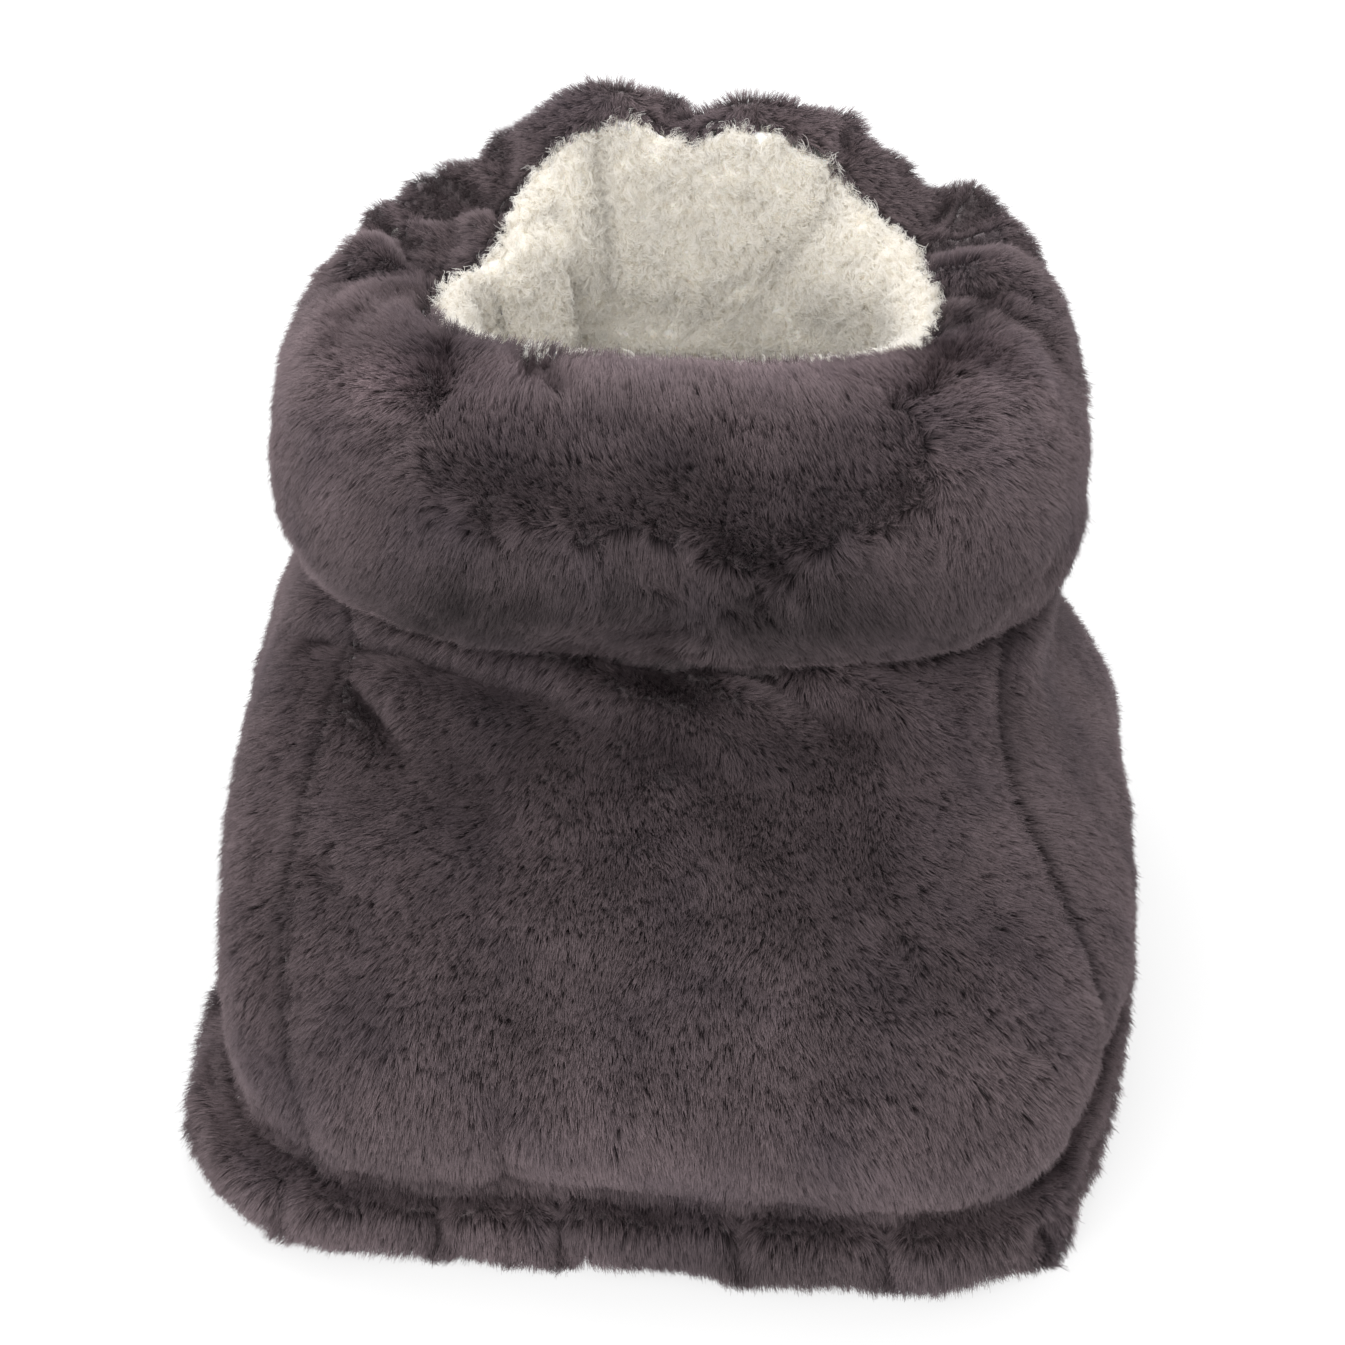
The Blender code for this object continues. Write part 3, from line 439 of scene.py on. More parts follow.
def back_with_scrim(tree, shader, front, lift=SCRIM_LIFT, below=0.0):
    """Taupe knit on the sides that face away from the boot's middle, and front on the others.

    With below above 0, faces that look down count as facing away, and those that look up don't.
    """
    flat = add(tree, "ShaderNodeVectorMath", operation="MULTIPLY_ADD")
    tree.links.new(tree.nodes.new("ShaderNodeTexCoord").outputs["Object"], flat.inputs[0])
    flat.inputs[1].default_value = (1.0, 1.0, 0.0)
    flat.inputs[2].default_value = (0.0, 0.0, -below)
    outward = add(tree, "ShaderNodeVectorMath", operation="DOT_PRODUCT")
    tree.links.new(tree.nodes.new("ShaderNodeTexCoord").outputs["Normal"], outward.inputs[0])
    tree.links.new(flat.outputs["Vector"], outward.inputs[1])
    lifted = add(tree, "ShaderNodeMath", operation="ADD")
    tree.links.new(outward.outputs["Value"], lifted.inputs[0])
    lifted.inputs[1].default_value = lift
    scrim = ramp(tree, lifted.outputs[0], ((0.0, (0, 0, 0)), (SCRIM_FADE, (1, 1, 1))))
    tree.links.new(mix(tree, scrim, front, FUR_DEEP), shader.inputs["Base Color"])


def wadding_material():
    """White fibre batting, with a taupe scrim on the side that faces out."""
    material, tree, shader = new_material("batting")
    fibres = noise(tree, 600.0, 5.0, None, 0.7)
    white = ramp(tree, fibres, ((0.3, linear(205, 203, 198)), (0.7, linear(238, 236, 231))))
    back_with_scrim(tree, shader, white)
    shader.inputs["Roughness"].default_value = 0.95
    bump = add(tree, "ShaderNodeBump", Strength=0.6, Distance=0.001)
    tree.links.new(fibres, bump.inputs["Height"])
    tree.links.new(bump.outputs["Normal"], shader.inputs["Normal"])
    return material


def foam_material():
    material, tree, shader = new_material("cell_foam")
    cells = add(tree, "ShaderNodeTexVoronoi", Scale=900.0)
    tree.links.new(tree.nodes.new("ShaderNodeTexCoord").outputs["Object"], cells.inputs["Vector"])
    grey = ramp(tree, cells.outputs["Distance"], ((0.1, linear(70, 70, 74)), (0.6, linear(108, 108, 112))))
    tree.links.new(grey, shader.inputs["Base Color"])
    shader.inputs["Roughness"].default_value = 0.9
    bump = add(tree, "ShaderNodeBump", Strength=0.4, Distance=0.0005)
    tree.links.new(cells.outputs["Distance"], bump.inputs["Height"])
    tree.links.new(bump.outputs["Normal"], shader.inputs["Normal"])
    return material


# Skins: each soft node is copied, remeshed finely and worked in mesh code

def mesh_arrays(mesh):
    count = len(mesh.vertices)
    points, normals = np.empty(count * 3), np.empty(count * 3)
    mesh.vertices.foreach_get("co", points)
    mesh.vertices.foreach_get("normal", normals)
    return points.reshape(-1, 3), normals.reshape(-1, 3)


def remeshed(node, name, voxel, smoothing):
    """A fine copy of a CAD node's solid, with its facets smoothed away."""
    obj = bpy.data.objects.new(name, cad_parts[node].data.copy())
    scene.collection.objects.link(obj)
    remesh = obj.modifiers.new("remesh", "REMESH")
    remesh.mode = "VOXEL"
    remesh.voxel_size = voxel
    smooth = obj.modifiers.new("smooth", "SMOOTH")
    smooth.factor = 0.5
    smooth.iterations = smoothing
    bpy.context.view_layer.update()
    mesh = bpy.data.meshes.new_from_object(obj.evaluated_get(bpy.context.evaluated_depsgraph_get()))
    bpy.data.objects.remove(obj, do_unlink=True)
    mesh.materials.clear()
    mesh.shade_smooth()
    mesh.name = name
    set_points(mesh, nudged(mesh_arrays(mesh)[0]))
    made = bpy.data.objects.new(name, mesh)
    scene.collection.objects.link(made)
    return made


def nudged(points):
    """The points moved by the sags and rises of the soft pieces."""
    moved = points.copy()
    for centre, reach, shift in NUDGES:
        share = np.exp(-(((points - np.array(centre)) / np.array(reach)) ** 2).sum(axis=1))
        moved += share[:, None] * np.array(shift)
    return moved


def neighbours(*names):
    """One search tree of these CAD solids, for telling a skin's open side from its backed side."""
    points, faces = [], []
    for name in names:
        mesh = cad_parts[name].data
        first = len(points)
        points += [v.co for v in mesh.vertices]
        faces += [[first + i for i in face.vertices] for face in mesh.polygons]
    return BVHTree.FromPolygons(nudged(np.array(points)).tolist(), faces)


def open_share(points, normals, backing, room):
    """1 where nothing of the backing lies within room in front of the surface, else 0."""
    start = 0.0004
    return np.array([
        0.0 if backing.ray_cast(Vector(p) + Vector(n) * start, Vector(n), room)[0] else 1.0
        for p, n in zip(points, normals)
    ])


# Noise in numpy, for moving many points at once

def lattice(cells, seed):
    """A repeatable random number from 0 to 1 for each whole-number cell."""
    mixed = cells[..., 0] * 374761393 + cells[..., 1] * 668265263
    mixed = mixed + cells[..., 2] * 2147483647 + seed * 1274126177
    mixed = (mixed ^ (mixed >> 13)) * 1274126177
    return ((mixed ^ (mixed >> 16)) & 0xFFFFFF) / 0xFFFFFF


def value_noise(points, size, seed):
    """Smooth noise from -1 to 1 whose features are about size wide."""
    scaled = points / size
    cell = np.floor(scaled).astype(np.int64)
    part = scaled - cell
    part = part * part * (3 - 2 * part)
    total = np.zeros(len(points))
    for corner in range(8):
        step = np.array([corner & 1, corner >> 1 & 1, corner >> 2 & 1])
        weight = np.prod(np.where(step, part, 1 - part), axis=1)
        total += weight * lattice(cell + step, seed)
    return total * 2 - 1


def cell_noise(points, size, seed):
    """Distance to the nearest of scattered centres about size apart, as a share of size."""
    scaled = points / size
    cell = np.floor(scaled).astype(np.int64)
    nearest = np.full(len(points), 9.0)
    for i in range(27):
        step = np.array([i % 3 - 1, i // 3 % 3 - 1, i // 9 - 1])
        there = cell + step
        centre = there + np.stack([lattice(there, seed + k) for k in range(3)], axis=1)
        nearest = np.minimum(nearest, ((scaled - centre) ** 2).sum(axis=1))
    return np.sqrt(nearest)


def unit(vectors):
    """The vectors at length 1."""
    return vectors / np.maximum(np.linalg.norm(vectors, axis=-1, keepdims=True), 1e-9)


def set_points(mesh, points):
    """Move a mesh's points, none of them below the floor."""
    points = np.maximum(points, [-1.0, -1.0, FLOOR_GAP])
    mesh.vertices.foreach_set("co", points.astype(np.float32).ravel())
    mesh.update()


# Folds, and painted light and shade in the pile's colour

def camera_place():
    return CAMERA_TARGET - camera_axes()[2] * CAMERA_DISTANCE


def near_path(pixels, path, wide):
    """1 on a path of pixels, falling to 0 beside it, and running out towards its far end."""
    nearest = np.full(len(pixels), FAR)
    position = np.zeros(len(pixels))
    corners = np.array(path, dtype=float)
    passed = 0.0
    for a, b in zip(corners, corners[1:]):
        length = np.linalg.norm(b - a)
        along = np.clip(((pixels - a) @ (b - a)) / length**2, 0.0, 1.0)
        distance = np.linalg.norm(pixels - a - along[:, None] * (b - a), axis=1)
        position = np.where(distance < nearest, passed + along * length, position)
        nearest = np.minimum(nearest, distance)
        passed += length
    run_out = np.clip((position / passed - FOLD_RUNS_OUT) / (1 - FOLD_RUNS_OUT), 0, 1)
    return np.exp(-((nearest / wide) ** 2)) * (1 - FOLD_END_LOSS * run_out)


def press_folds(mesh, folds, skin_depth=0.013):
    """Press folds into the side of a piece that the camera sees, with both faces of its skin."""
    points, normals = mesh_arrays(mesh)
    pixels = to_photo(points)
    depth = np.zeros(len(points))
    for path, deep, wide in folds:
        depth += FOLD_DEEPER * deep * near_path(pixels, path, FOLD_WIDER * wide)
    near = np.nonzero(np.abs(depth) > FOLD_LEAST)[0]
    if not len(near):
        return
    tree = BVHTree.FromPolygons([Vector(p) for p in points], [tuple(f.vertices) for f in mesh.polygons])
    eye = camera_place()
    shown = np.ones(len(points))
    for i in near:
        ray = Vector(points[i]) - eye
        far = ray.length
        hit = tree.ray_cast(eye, ray / far)
        if hit[0] is None or far - hit[3] > skin_depth:
            shown[i] = 0.0
    depth *= spread_out(mesh, shown[:, None], FOLD_FADE_ROUNDS)[:, 0]
    toward = np.array(eye) - points
    facing = np.sign((normals * toward).sum(axis=1))[:, None]
    set_points(mesh, points - normals * facing * depth[:, None])
    smooth_moved(mesh, depth)


def spread_out(mesh, values, rounds, share=0.5):
    """Average the points' values with their neighbours' along the mesh, so many times over."""
    edges = np.empty(len(mesh.edges) * 2, dtype=np.int32)
    mesh.edges.foreach_get("vertices", edges)
    a, b = edges.reshape(-1, 2).T
    ends, others = np.concatenate([a, b]), np.concatenate([b, a])
    links = np.bincount(ends, minlength=len(values))[:, None]
    for _ in range(rounds):
        total = np.stack([np.bincount(ends, column[others], len(values)) for column in values.T], axis=1)
        values = values + share * (total / links - values)
    return values


def smooth_moved(mesh, depth, rounds=4):
    """Even out the mesh where a fold has moved it."""
    share = np.clip(np.abs(depth) / FOLD_FULL, 0, 1)[:, None] * 0.5
    set_points(mesh, spread_out(mesh, mesh_arrays(mesh)[0], rounds, share))


def fold_share(points, normals, folds):
    """How far into a fold each point lies, from 0 to 1; the seams between the panels count as folds."""
    pixels = to_photo(points)
    seen = (normals * (np.array(camera_place()) - points)).sum(axis=1) > 0
    share = np.zeros(len(points))
    for path, deep, wide in folds:
        if deep > 0:
            share = np.maximum(share, deep / FOLD_FULL * near_path(pixels, path, wide) * seen)
    return np.clip(share, 0.0, 1.0) + seam_share(points)


def seam_share(points):
    """1 on a seam between two panels, falling to 0 beside it."""
    nearest = np.full(len(points), FAR)
    for start in range(0, len(points), SEAM_BATCH):
        part = points[start:start + SEAM_BATCH, None, :] - seam_points[None]
        nearest[start:start + SEAM_BATCH] = (part * part).sum(axis=2).min(axis=1)
    return np.exp(-nearest / SEAM_WIDTH**2)


def panel_seams():
    """Points along the seams at both ends of the vamp and the heel panel, from the panels' own corners."""
    lines = []
    for node in ("vamp_panel", "heel_panel"):
        corners = np.array([v.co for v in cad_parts[node].data.vertices])
        levels = np.unique(corners[:, 2].round(4))
        for side in (-1, 1):
            line = []
            for level in levels:
                row = corners[np.abs(corners[:, 2] - level) < 0.0001]
                line.append(row[(row[:, 0] * side).argmax()])
            for a, b in zip(line, line[1:]):
                lines += [a + (b - a) * k / SEAM_STEPS for k in range(SEAM_STEPS)]
    return nudged(np.array(lines))


def tone_and_painted_light_factor(points, normals, folds=()):
    """How light the pile's colour is made: random tone in wandering patches, painted highlight and painted
    shade patches on the side the camera sees, painted highlight on ridges and painted shade in folds and
    seams.
    """
    factor = np.ones(len(points))
    for amount, size, seed in NAP_WAVES:
        factor += amount * value_noise(points, size, seed)
    pixels = to_photo(points)
    toward = np.array(camera_place()) - points
    seen = ((normals * toward).sum(axis=1) > 0).astype(float)
    # Painted highlight and painted shade patches, only where the camera sees the surface.
    for centre, reach, amount in PAINTED_LIGHT_PATCHES:
        share = (((pixels - np.array(centre)) / np.array(reach)) ** 2).sum(axis=1)
        factor += amount * seen * np.exp(-share)
    for path, deep, wide in folds:
        if deep < 0:
            factor += RIDGE_LIGHT * seen * near_path(pixels, path, wide)
    return factor * (1 - FOLD_SHADE * np.clip(fold_share(points, normals, folds), 0, 1))


def set_attribute(data, name, domain, values):
    data.attributes.new(name, "FLOAT", domain).data.foreach_set("value", values.astype(np.float32))


# Strands

def surface_samples(obj, mask, per_m2, rng):
    """Random points of the masked surface, with their normals."""
    mesh = obj.data
    mesh.calc_loop_triangles()
    corners = np.empty(len(mesh.loop_triangles) * 3, dtype=np.int32)
    mesh.loop_triangles.foreach_get("vertices", corners)
    corners = corners.reshape(-1, 3)
    points, normals = mesh_arrays(mesh)
    corners = corners[mask[corners].mean(axis=1) > SAMPLED_SHARE]
    a, b, c = (points[corners[:, k]] for k in range(3))
    area = np.linalg.norm(np.cross(b - a, c - a), axis=1) / 2
    count = int(area.sum() * per_m2)
    chosen = rng.choice(len(corners), size=count, p=area / area.sum())
    u, v = rng.random(count), rng.random(count)
    flip = u + v > 1
    u[flip], v[flip] = 1 - u[flip], 1 - v[flip]
    weights = np.stack([1 - u - v, u, v], axis=1)[:, :, None]
    root = (points[corners[chosen]] * weights).sum(axis=1)
    return root, unit((normals[corners[chosen]] * weights).sum(axis=1))


def strand_object(name, lines, radii, material):
    """One hair object of equal strands: lines is [strand][point][xyz], radii those of root and tip."""
    count, steps = lines.shape[:2]
    curves = bpy.data.hair_curves.new(name)
    curves.add_curves([steps] * count)
    lines = np.maximum(lines, [-1.0, -1.0, FLOOR_GAP])
    curves.attributes["position"].data.foreach_set("vector", lines.astype(np.float32).ravel())
    radius = curves.attributes.new("radius", "FLOAT", "POINT")
    profile = radii[0] + (radii[1] - radii[0]) * np.linspace(0, 1, steps) ** 1.5
    radius.data.foreach_set("value", np.tile(profile, count).astype(np.float32))
    curves.materials.append(material)
    obj = bpy.data.objects.new(name, curves)
    scene.collection.objects.link(obj)
    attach(obj, ROOT)
    return obj


def brushed_up(points):
    """0 where the pile is stroked down, 1 at the front of the cuff's top, where it is stroked up and in."""
    height = points[:, 2].copy()
    for amount, size, seed in BRUSH_RAGGED:
        height += amount * value_noise(points, size, seed)
    share = np.clip((height - CUFF_BRUSH[0]) / (CUFF_BRUSH[1] - CUFF_BRUSH[0]), 0, 1)
    front = np.clip((CUFF_MIDDLE_Y - points[:, 1]) / BRUSH_FADE, 0, 1)
    front *= np.exp(-((points[:, 0] / BRUSH_REACH) ** 4))
    return share * share * (3 - 2 * share) * front


def comb_direction(points, normals):
    """The way the pile is stroked: down the boot, wandering in patches."""
    down = np.array([0.0, 0.0, -1.0]) + np.zeros_like(points)
    on_cuff = np.clip((points[:, 2] - CUFF_BOTTOM) / CUFF_BOTTOM_FADE, 0, 1)
    outward = points * np.array([1.0, 1.0, 0.0])
    outward[:, 1] -= BODY_MIDDLE_Y + (CUFF_MIDDLE_Y - BODY_MIDDLE_Y) * on_cuff
    lifted = brushed_up(points)
    out_share = (0.6 + 0.6 * on_cuff) * (1 - 1.5 * lifted)
    lie = down * (1 - 2 * lifted)[:, None] + unit(outward) * out_share[:, None]
    for axis, amount, size, seed in COMB_WAVES:
        lie[:, axis] += amount * value_noise(points, size, seed)
    return unit(lie - (lie * normals).sum(axis=1, keepdims=True) * normals)


def grow_fur(name, obj, mask, seed, folds):
    """Long pile: strands in small groups that lean the way the pile is stroked."""
    rng = np.random.default_rng(seed)
    children = FUR_CHILDREN
    root, normal = surface_samples(obj, mask, FUR_PER_MM2 * 1e6, rng)
    comb = comb_direction(root, normal)
    side = np.cross(normal, comb)
    count = len(root)
    folded = np.clip(fold_share(root, normal, folds), 0, 1)
    upright = 4 * brushed_up(root) * (1 - brushed_up(root))
    amount, size, wave_seed = FUR_LEAN_NOISE
    lean = FUR_LEAN - FUR_UPRIGHT * upright + amount * value_noise(root, size, wave_seed)
    lean += FUR_LEAN_SPREAD * rng.standard_normal(count)
    lean = np.radians(lean.clip(*FUR_LEAN_LIMITS)) * (1 - 0.5 * folded)
    reach = FUR_LENGTH * (1.0 + 0.10 * value_noise(root, 0.010, 22) + 0.07 * rng.standard_normal(count))
    reach *= 1 - FOLD_SHORTENS * folded
    at_rim = np.clip((root[:, 1:] - RIM_START) / RIM_FADE, 0, 1).prod(axis=1)
    reach *= 1 - RIM_SHORTER * at_rim
    spread = FUR_SPREAD / math.sqrt(FUR_PER_MM2) * 0.001
    angle = rng.random((count, children)) * 2 * math.pi
    away = spread * np.sqrt(rng.random((count, children)))
    offset = comb[:, None] * (away * np.cos(angle))[..., None]
    offset += side[:, None] * (away * np.sin(angle))[..., None]
    wild = rng.standard_normal((count, children, 3)) * FUR_WILD
    own = 1 + 0.10 * rng.standard_normal((count, children))
    lines = np.empty((count, children, FUR_STEPS, 3))
    for k in range(FUR_STEPS):
        s = k / (FUR_STEPS - 1)
        bend = lean * s
        rise = np.sin(bend) / np.maximum(lean, 1e-3)
        run = (1 - np.cos(bend)) / np.maximum(lean, 1e-3)
        stem = normal * (rise * reach)[:, None] + comb * ((run * 1.25 + 0.25 * s) * reach)[:, None]
        gather = 1 - FUR_GATHER * s**1.4
        lines[:, :, k] = (root[:, None] + stem[:, None] * own[..., None] + offset * gather + wild * s * s)
    pile = strand_object(name, lines.reshape(-1, FUR_STEPS, 3), FUR_RADII, skin_materials["strands"])
    uneven = 1 + NAP_SPREAD * rng.standard_normal((count, children))
    # Each strand's colour factor: random tone with painted highlight and painted shade.
    set_attribute(pile.data, "tone_and_painted_light", "CURVE", (tone_and_painted_light_factor(root, normal, folds)[:, None] * uneven).ravel())


def grow_curls(name, obj, mask, seed):
    """Sherpa: tufts of short strands that curl over together."""
    rng = np.random.default_rng(seed)
    children = SHERPA_CHILDREN
    root, normal = surface_samples(obj, mask, SHERPA_PER_MM2 * 1e6, rng)
    count = len(root)
    lie = unit(rng.standard_normal((count, 3)))
    lie = unit(lie - (lie * normal).sum(axis=1, keepdims=True) * normal)
    side = np.cross(normal, lie)
    reach = SHERPA_LENGTH * (1.0 + 0.25 * rng.standard_normal(count)).clip(0.5, 1.6)
    curl = SHERPA_CURL * (1 + 0.3 * rng.standard_normal(count))
    turns = rng.uniform(0.8, 1.7, count) * 2 * math.pi
    phase = rng.random(count) * 2 * math.pi
    spread = SHERPA_SPREAD / math.sqrt(SHERPA_PER_MM2) * 0.001
    offset = rng.standard_normal((count, children, 3)) * spread * 0.5
    offset -= (offset * normal[:, None]).sum(axis=2, keepdims=True) * normal[:, None]
    wild = rng.standard_normal((count, children, 3)) * SHERPA_WILD
    own = 1 + 0.18 * rng.standard_normal((count, children))
    lines = np.empty((count, children, SHERPA_STEPS, 3))
    for k in range(SHERPA_STEPS):
        s = k / (SHERPA_STEPS - 1)
        turned = phase + turns * s
        stem = normal * (reach * s * (1 - 0.25 * s))[:, None] + lie * (reach * 0.55 * s * s)[:, None]
        stem += (lie * np.cos(turned)[:, None] + side * np.sin(turned)[:, None]) * (curl * s**0.7)[:, None]
        lines[:, :, k] = root[:, None] + stem[:, None] * own[..., None] + offset * (1 - 0.7 * s) + wild * s
    strand_object(name, lines.reshape(-1, SHERPA_STEPS, 3), SHERPA_RADII, skin_materials["curls"])


# Dressing the soft pieces

def dress_fur(node, name, backing, seed, folds):
    """A plush panel: a skin sunk where it is open, with folds and pile."""
    obj = remeshed(node, name, SKIN_VOXEL, 5)
    points, normals = mesh_arrays(obj.data)
    mask = open_share(points, normals, backing, FUR_OPEN_ROOM)
    sink = np.array([
        min(FUR_SINK, max(backing.find_nearest(Vector(p))[3] - FUR_BACKING, 0.0)) if m else 0.0
        for p, m in zip(points, mask)
    ])
    tufts = sum(height * value_noise(points, size, seed + k) for k, (height, size) in enumerate(FUR_TUFTS))
    sink += SEAM_DEPTH * seam_share(points) * (sink > SEAM_DEPTH)
    set_points(obj.data, points + normals * (tufts * mask - sink)[:, None])
    press_folds(obj.data, folds)
    # The skin's colour factor: random tone with painted highlight and painted shade.
    set_attribute(obj.data, "tone_and_painted_light", "POINT", tone_and_painted_light_factor(*mesh_arrays(obj.data), folds))
    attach(obj, ROOT)
    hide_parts(node)
    obj.data.materials.append(skin_materials["fur"])
    grow_fur(name + "_pile", obj, mask, seed, folds)


def dress_sherpa(node, name, backing, seed, folds):
    """A lining: a tufted skin with curls on the side that faces the feet."""
    obj = remeshed(node, name, SKIN_VOXEL, 5)
    points, normals = mesh_arrays(obj.data)
    mask = open_share(points, normals, backing, SHERPA_OPEN_ROOM)
    if node != "collar_lining":
        mask *= ((normals * points)[:, :2].sum(axis=1) < 0) | (normals[:, 2] > 0.5)
    if node == "footbed":
        mask *= points[:, 1] < HEEL_INSIDE_Y
    tufts = 0.5 - cell_noise(points, SHERPA_TUFT[1], seed)
    swell = value_noise(points, SHERPA_SWELL[1], seed + 5)
    lift = (SHERPA_TUFT[0] * tufts + SHERPA_SWELL[0] * swell) * mask
    set_points(obj.data, points + normals * lift[:, None])
    press_folds(obj.data, folds)
    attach(obj, ROOT)
    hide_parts(node)
    skin = {"collar_lining": "sherpa", "footbed": "footbed"}.get(node, "backed")
    obj.data.materials.append(skin_materials[skin])
    grow_curls(name + "_curls", obj, mask, seed)
    return obj


def dress_stuffing(node, name, slot, wave=0.0006, folds=()):
    """Wadding, filling and foam: a soft lumpy copy of the solid."""
    obj = remeshed(node, name, STUFFING_VOXEL, 3)
    points, normals = mesh_arrays(obj.data)
    set_points(obj.data, points - normals * (wave * (1 + value_noise(points, 0.018, 61)))[:, None])
    press_folds(obj.data, folds, STUFFING_SKIN)
    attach(obj, ROOT)
    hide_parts(node)
    obj.data.materials.append(skin_materials[slot])


# Light and floor

def make_light():
    """A white studio: a world that lights less than the camera sees of it, and four soft lamps."""
    world = bpy.data.worlds.new("studio")
    scene.world = world
    world.use_nodes = True
    tree = world.node_tree
    background = tree.nodes["Background"]
    path = tree.nodes.new("ShaderNodeLightPath")
    seen = add(tree, "ShaderNodeMath", operation="MAXIMUM")
    sharp = add(tree, "ShaderNodeMath", operation="MAXIMUM")
    tree.links.new(path.outputs["Is Glossy Ray"], sharp.inputs[0])
    tree.links.new(path.outputs["Is Transmission Ray"], sharp.inputs[1])
    tree.links.new(path.outputs["Is Camera Ray"], seen.inputs[0])
    tree.links.new(sharp.outputs[0], seen.inputs[1])
    strength = add(tree, "ShaderNodeMapRange")
    tree.links.new(seen.outputs[0], strength.inputs["Value"])
    strength.inputs["To Min"].default_value = WORLD_LIGHT
    strength.inputs["To Max"].default_value = 1.0
    tree.links.new(strength.outputs["Result"], background.inputs["Strength"])
    background.inputs["Color"].default_value = (1, 1, 1, 1)
    for name, at, power in LAMPS:
        lamp = bpy.data.lights.new(name, "AREA")
        lamp.size = LAMP_SIZE
        lamp.energy = power
        obj = bpy.data.objects.new(name, lamp)
        obj.location = at
        obj.rotation_euler = (Vector(LAMPS_AIM) - Vector(at)).to_track_quat("-Z", "Y").to_euler()
        scene.collection.objects.link(obj)


def make_floor():
    """A white floor that mostly glows for the camera, so that only soft shadows show on it."""
    bm = bmesh.new()
    bmesh.ops.create_grid(bm, x_segments=1, y_segments=1, size=FLOOR_HALF)
    mesh = bpy.data.meshes.new("floor")
    bm.to_mesh(mesh)
    bm.free()
    floor = bpy.data.objects.new("floor", mesh)
    scene.collection.objects.link(floor)
    material, tree, shader = new_material("floor_paint")
    shader.inputs["Base Color"].default_value = (FLOOR_WHITE, FLOOR_WHITE, FLOOR_WHITE, 1.0)
    shader.inputs["Roughness"].default_value = 0.9
    glow = add(tree, "ShaderNodeEmission", Strength=1.0)
    path = tree.nodes.new("ShaderNodeLightPath")
    shadowed = add(tree, "ShaderNodeMixShader")
    floor_share = add(tree, "ShaderNodeMath", operation="MULTIPLY")
    tree.links.new(path.outputs["Is Camera Ray"], floor_share.inputs[0])
    floor_share.inputs[1].default_value = FLOOR_GLOW_SHARE
    tree.links.new(floor_share.outputs[0], shadowed.inputs["Fac"])
    tree.links.new(shader.outputs[0], shadowed.inputs[1])
    tree.links.new(glow.outputs[0], shadowed.inputs[2])
    tree.links.new(shadowed.outputs[0], tree.nodes["Material Output"].inputs["Surface"])
    floor.data.materials.append(material)


# Hard parts and plain cloth

def grained(name, dark, light, scale, roughness, metallic=0.0, bump_depth=0.0002, weave=0.0):
    """A surface with fine grain and slow patches; weave is the pitch of a cloth's threads in metres."""
    material, tree, shader = new_material(name)
    coordinates = tree.nodes.new("ShaderNodeTexCoord").outputs["Object"]
    grain = noise(tree, scale, 4.0, coordinates, 0.6)
    slow = noise(tree, 35.0, 2.0, coordinates)
    height = grain
    if weave:
        threads = []
        for axis in ("X", "Y", "Z"):
            wave = add(tree, "ShaderNodeTexWave", Scale=math.pi / (10 * weave), Distortion=0.6)
            wave.bands_direction = axis
            wave.inputs["Detail Scale"].default_value = 0.4
            tree.links.new(coordinates, wave.inputs["Vector"])
            threads.append(wave.outputs["Fac"])
        cloth = mix(tree, 1.0, mix(tree, 0.5, threads[0], threads[1]), threads[2], "SCREEN")
        height = mix(tree, 0.35, cloth, grain)
    both = mix(tree, 0.35, height, slow)
    tree.links.new(ramp(tree, both, ((0.25, dark), (0.75, light))), shader.inputs["Base Color"])
    rough = add(tree, "ShaderNodeMapRange")
    tree.links.new(slow, rough.inputs["Value"])
    rough.inputs["To Min"].default_value = roughness - 0.08
    rough.inputs["To Max"].default_value = roughness + 0.08
    tree.links.new(rough.outputs["Result"], shader.inputs["Roughness"])
    shader.inputs["Metallic"].default_value = metallic
    bump = add(tree, "ShaderNodeBump", Strength=0.5, Distance=bump_depth)
    tree.links.new(height, bump.inputs["Height"])
    tree.links.new(bump.outputs["Normal"], shader.inputs["Normal"])
    return material


def dotted_fabric():
    """Dark sole cloth with paler rubber dots, told apart by their height above the cloth's face."""
    material = grained("grip_cloth", linear(58, 54, 56), linear(92, 86, 88), 700.0, 0.85, 0.0, 0.0003, 0.0008)
    tree = material.node_tree
    shader = tree.nodes["Principled BSDF"]
    cloth = shader.inputs["Base Color"].links[0].from_socket
    split = tree.nodes.new("ShaderNodeSeparateXYZ")
    tree.links.new(tree.nodes.new("ShaderNodeTexCoord").outputs["Object"], split.inputs[0])
    stops = ((0.0, (1, 1, 1)), (DOT_TOP, (1, 1, 1)), (DOT_TOP + 0.0001, (0, 0, 0)))
    level = ramp(tree, split.outputs["Z"], stops)
    rubber = ramp(tree, noise(tree, 260.0), ((0.3, linear(150, 142, 140)), (0.7, linear(176, 168, 165))))
    tree.links.new(mix(tree, level, cloth, rubber), shader.inputs["Base Color"])
    return material


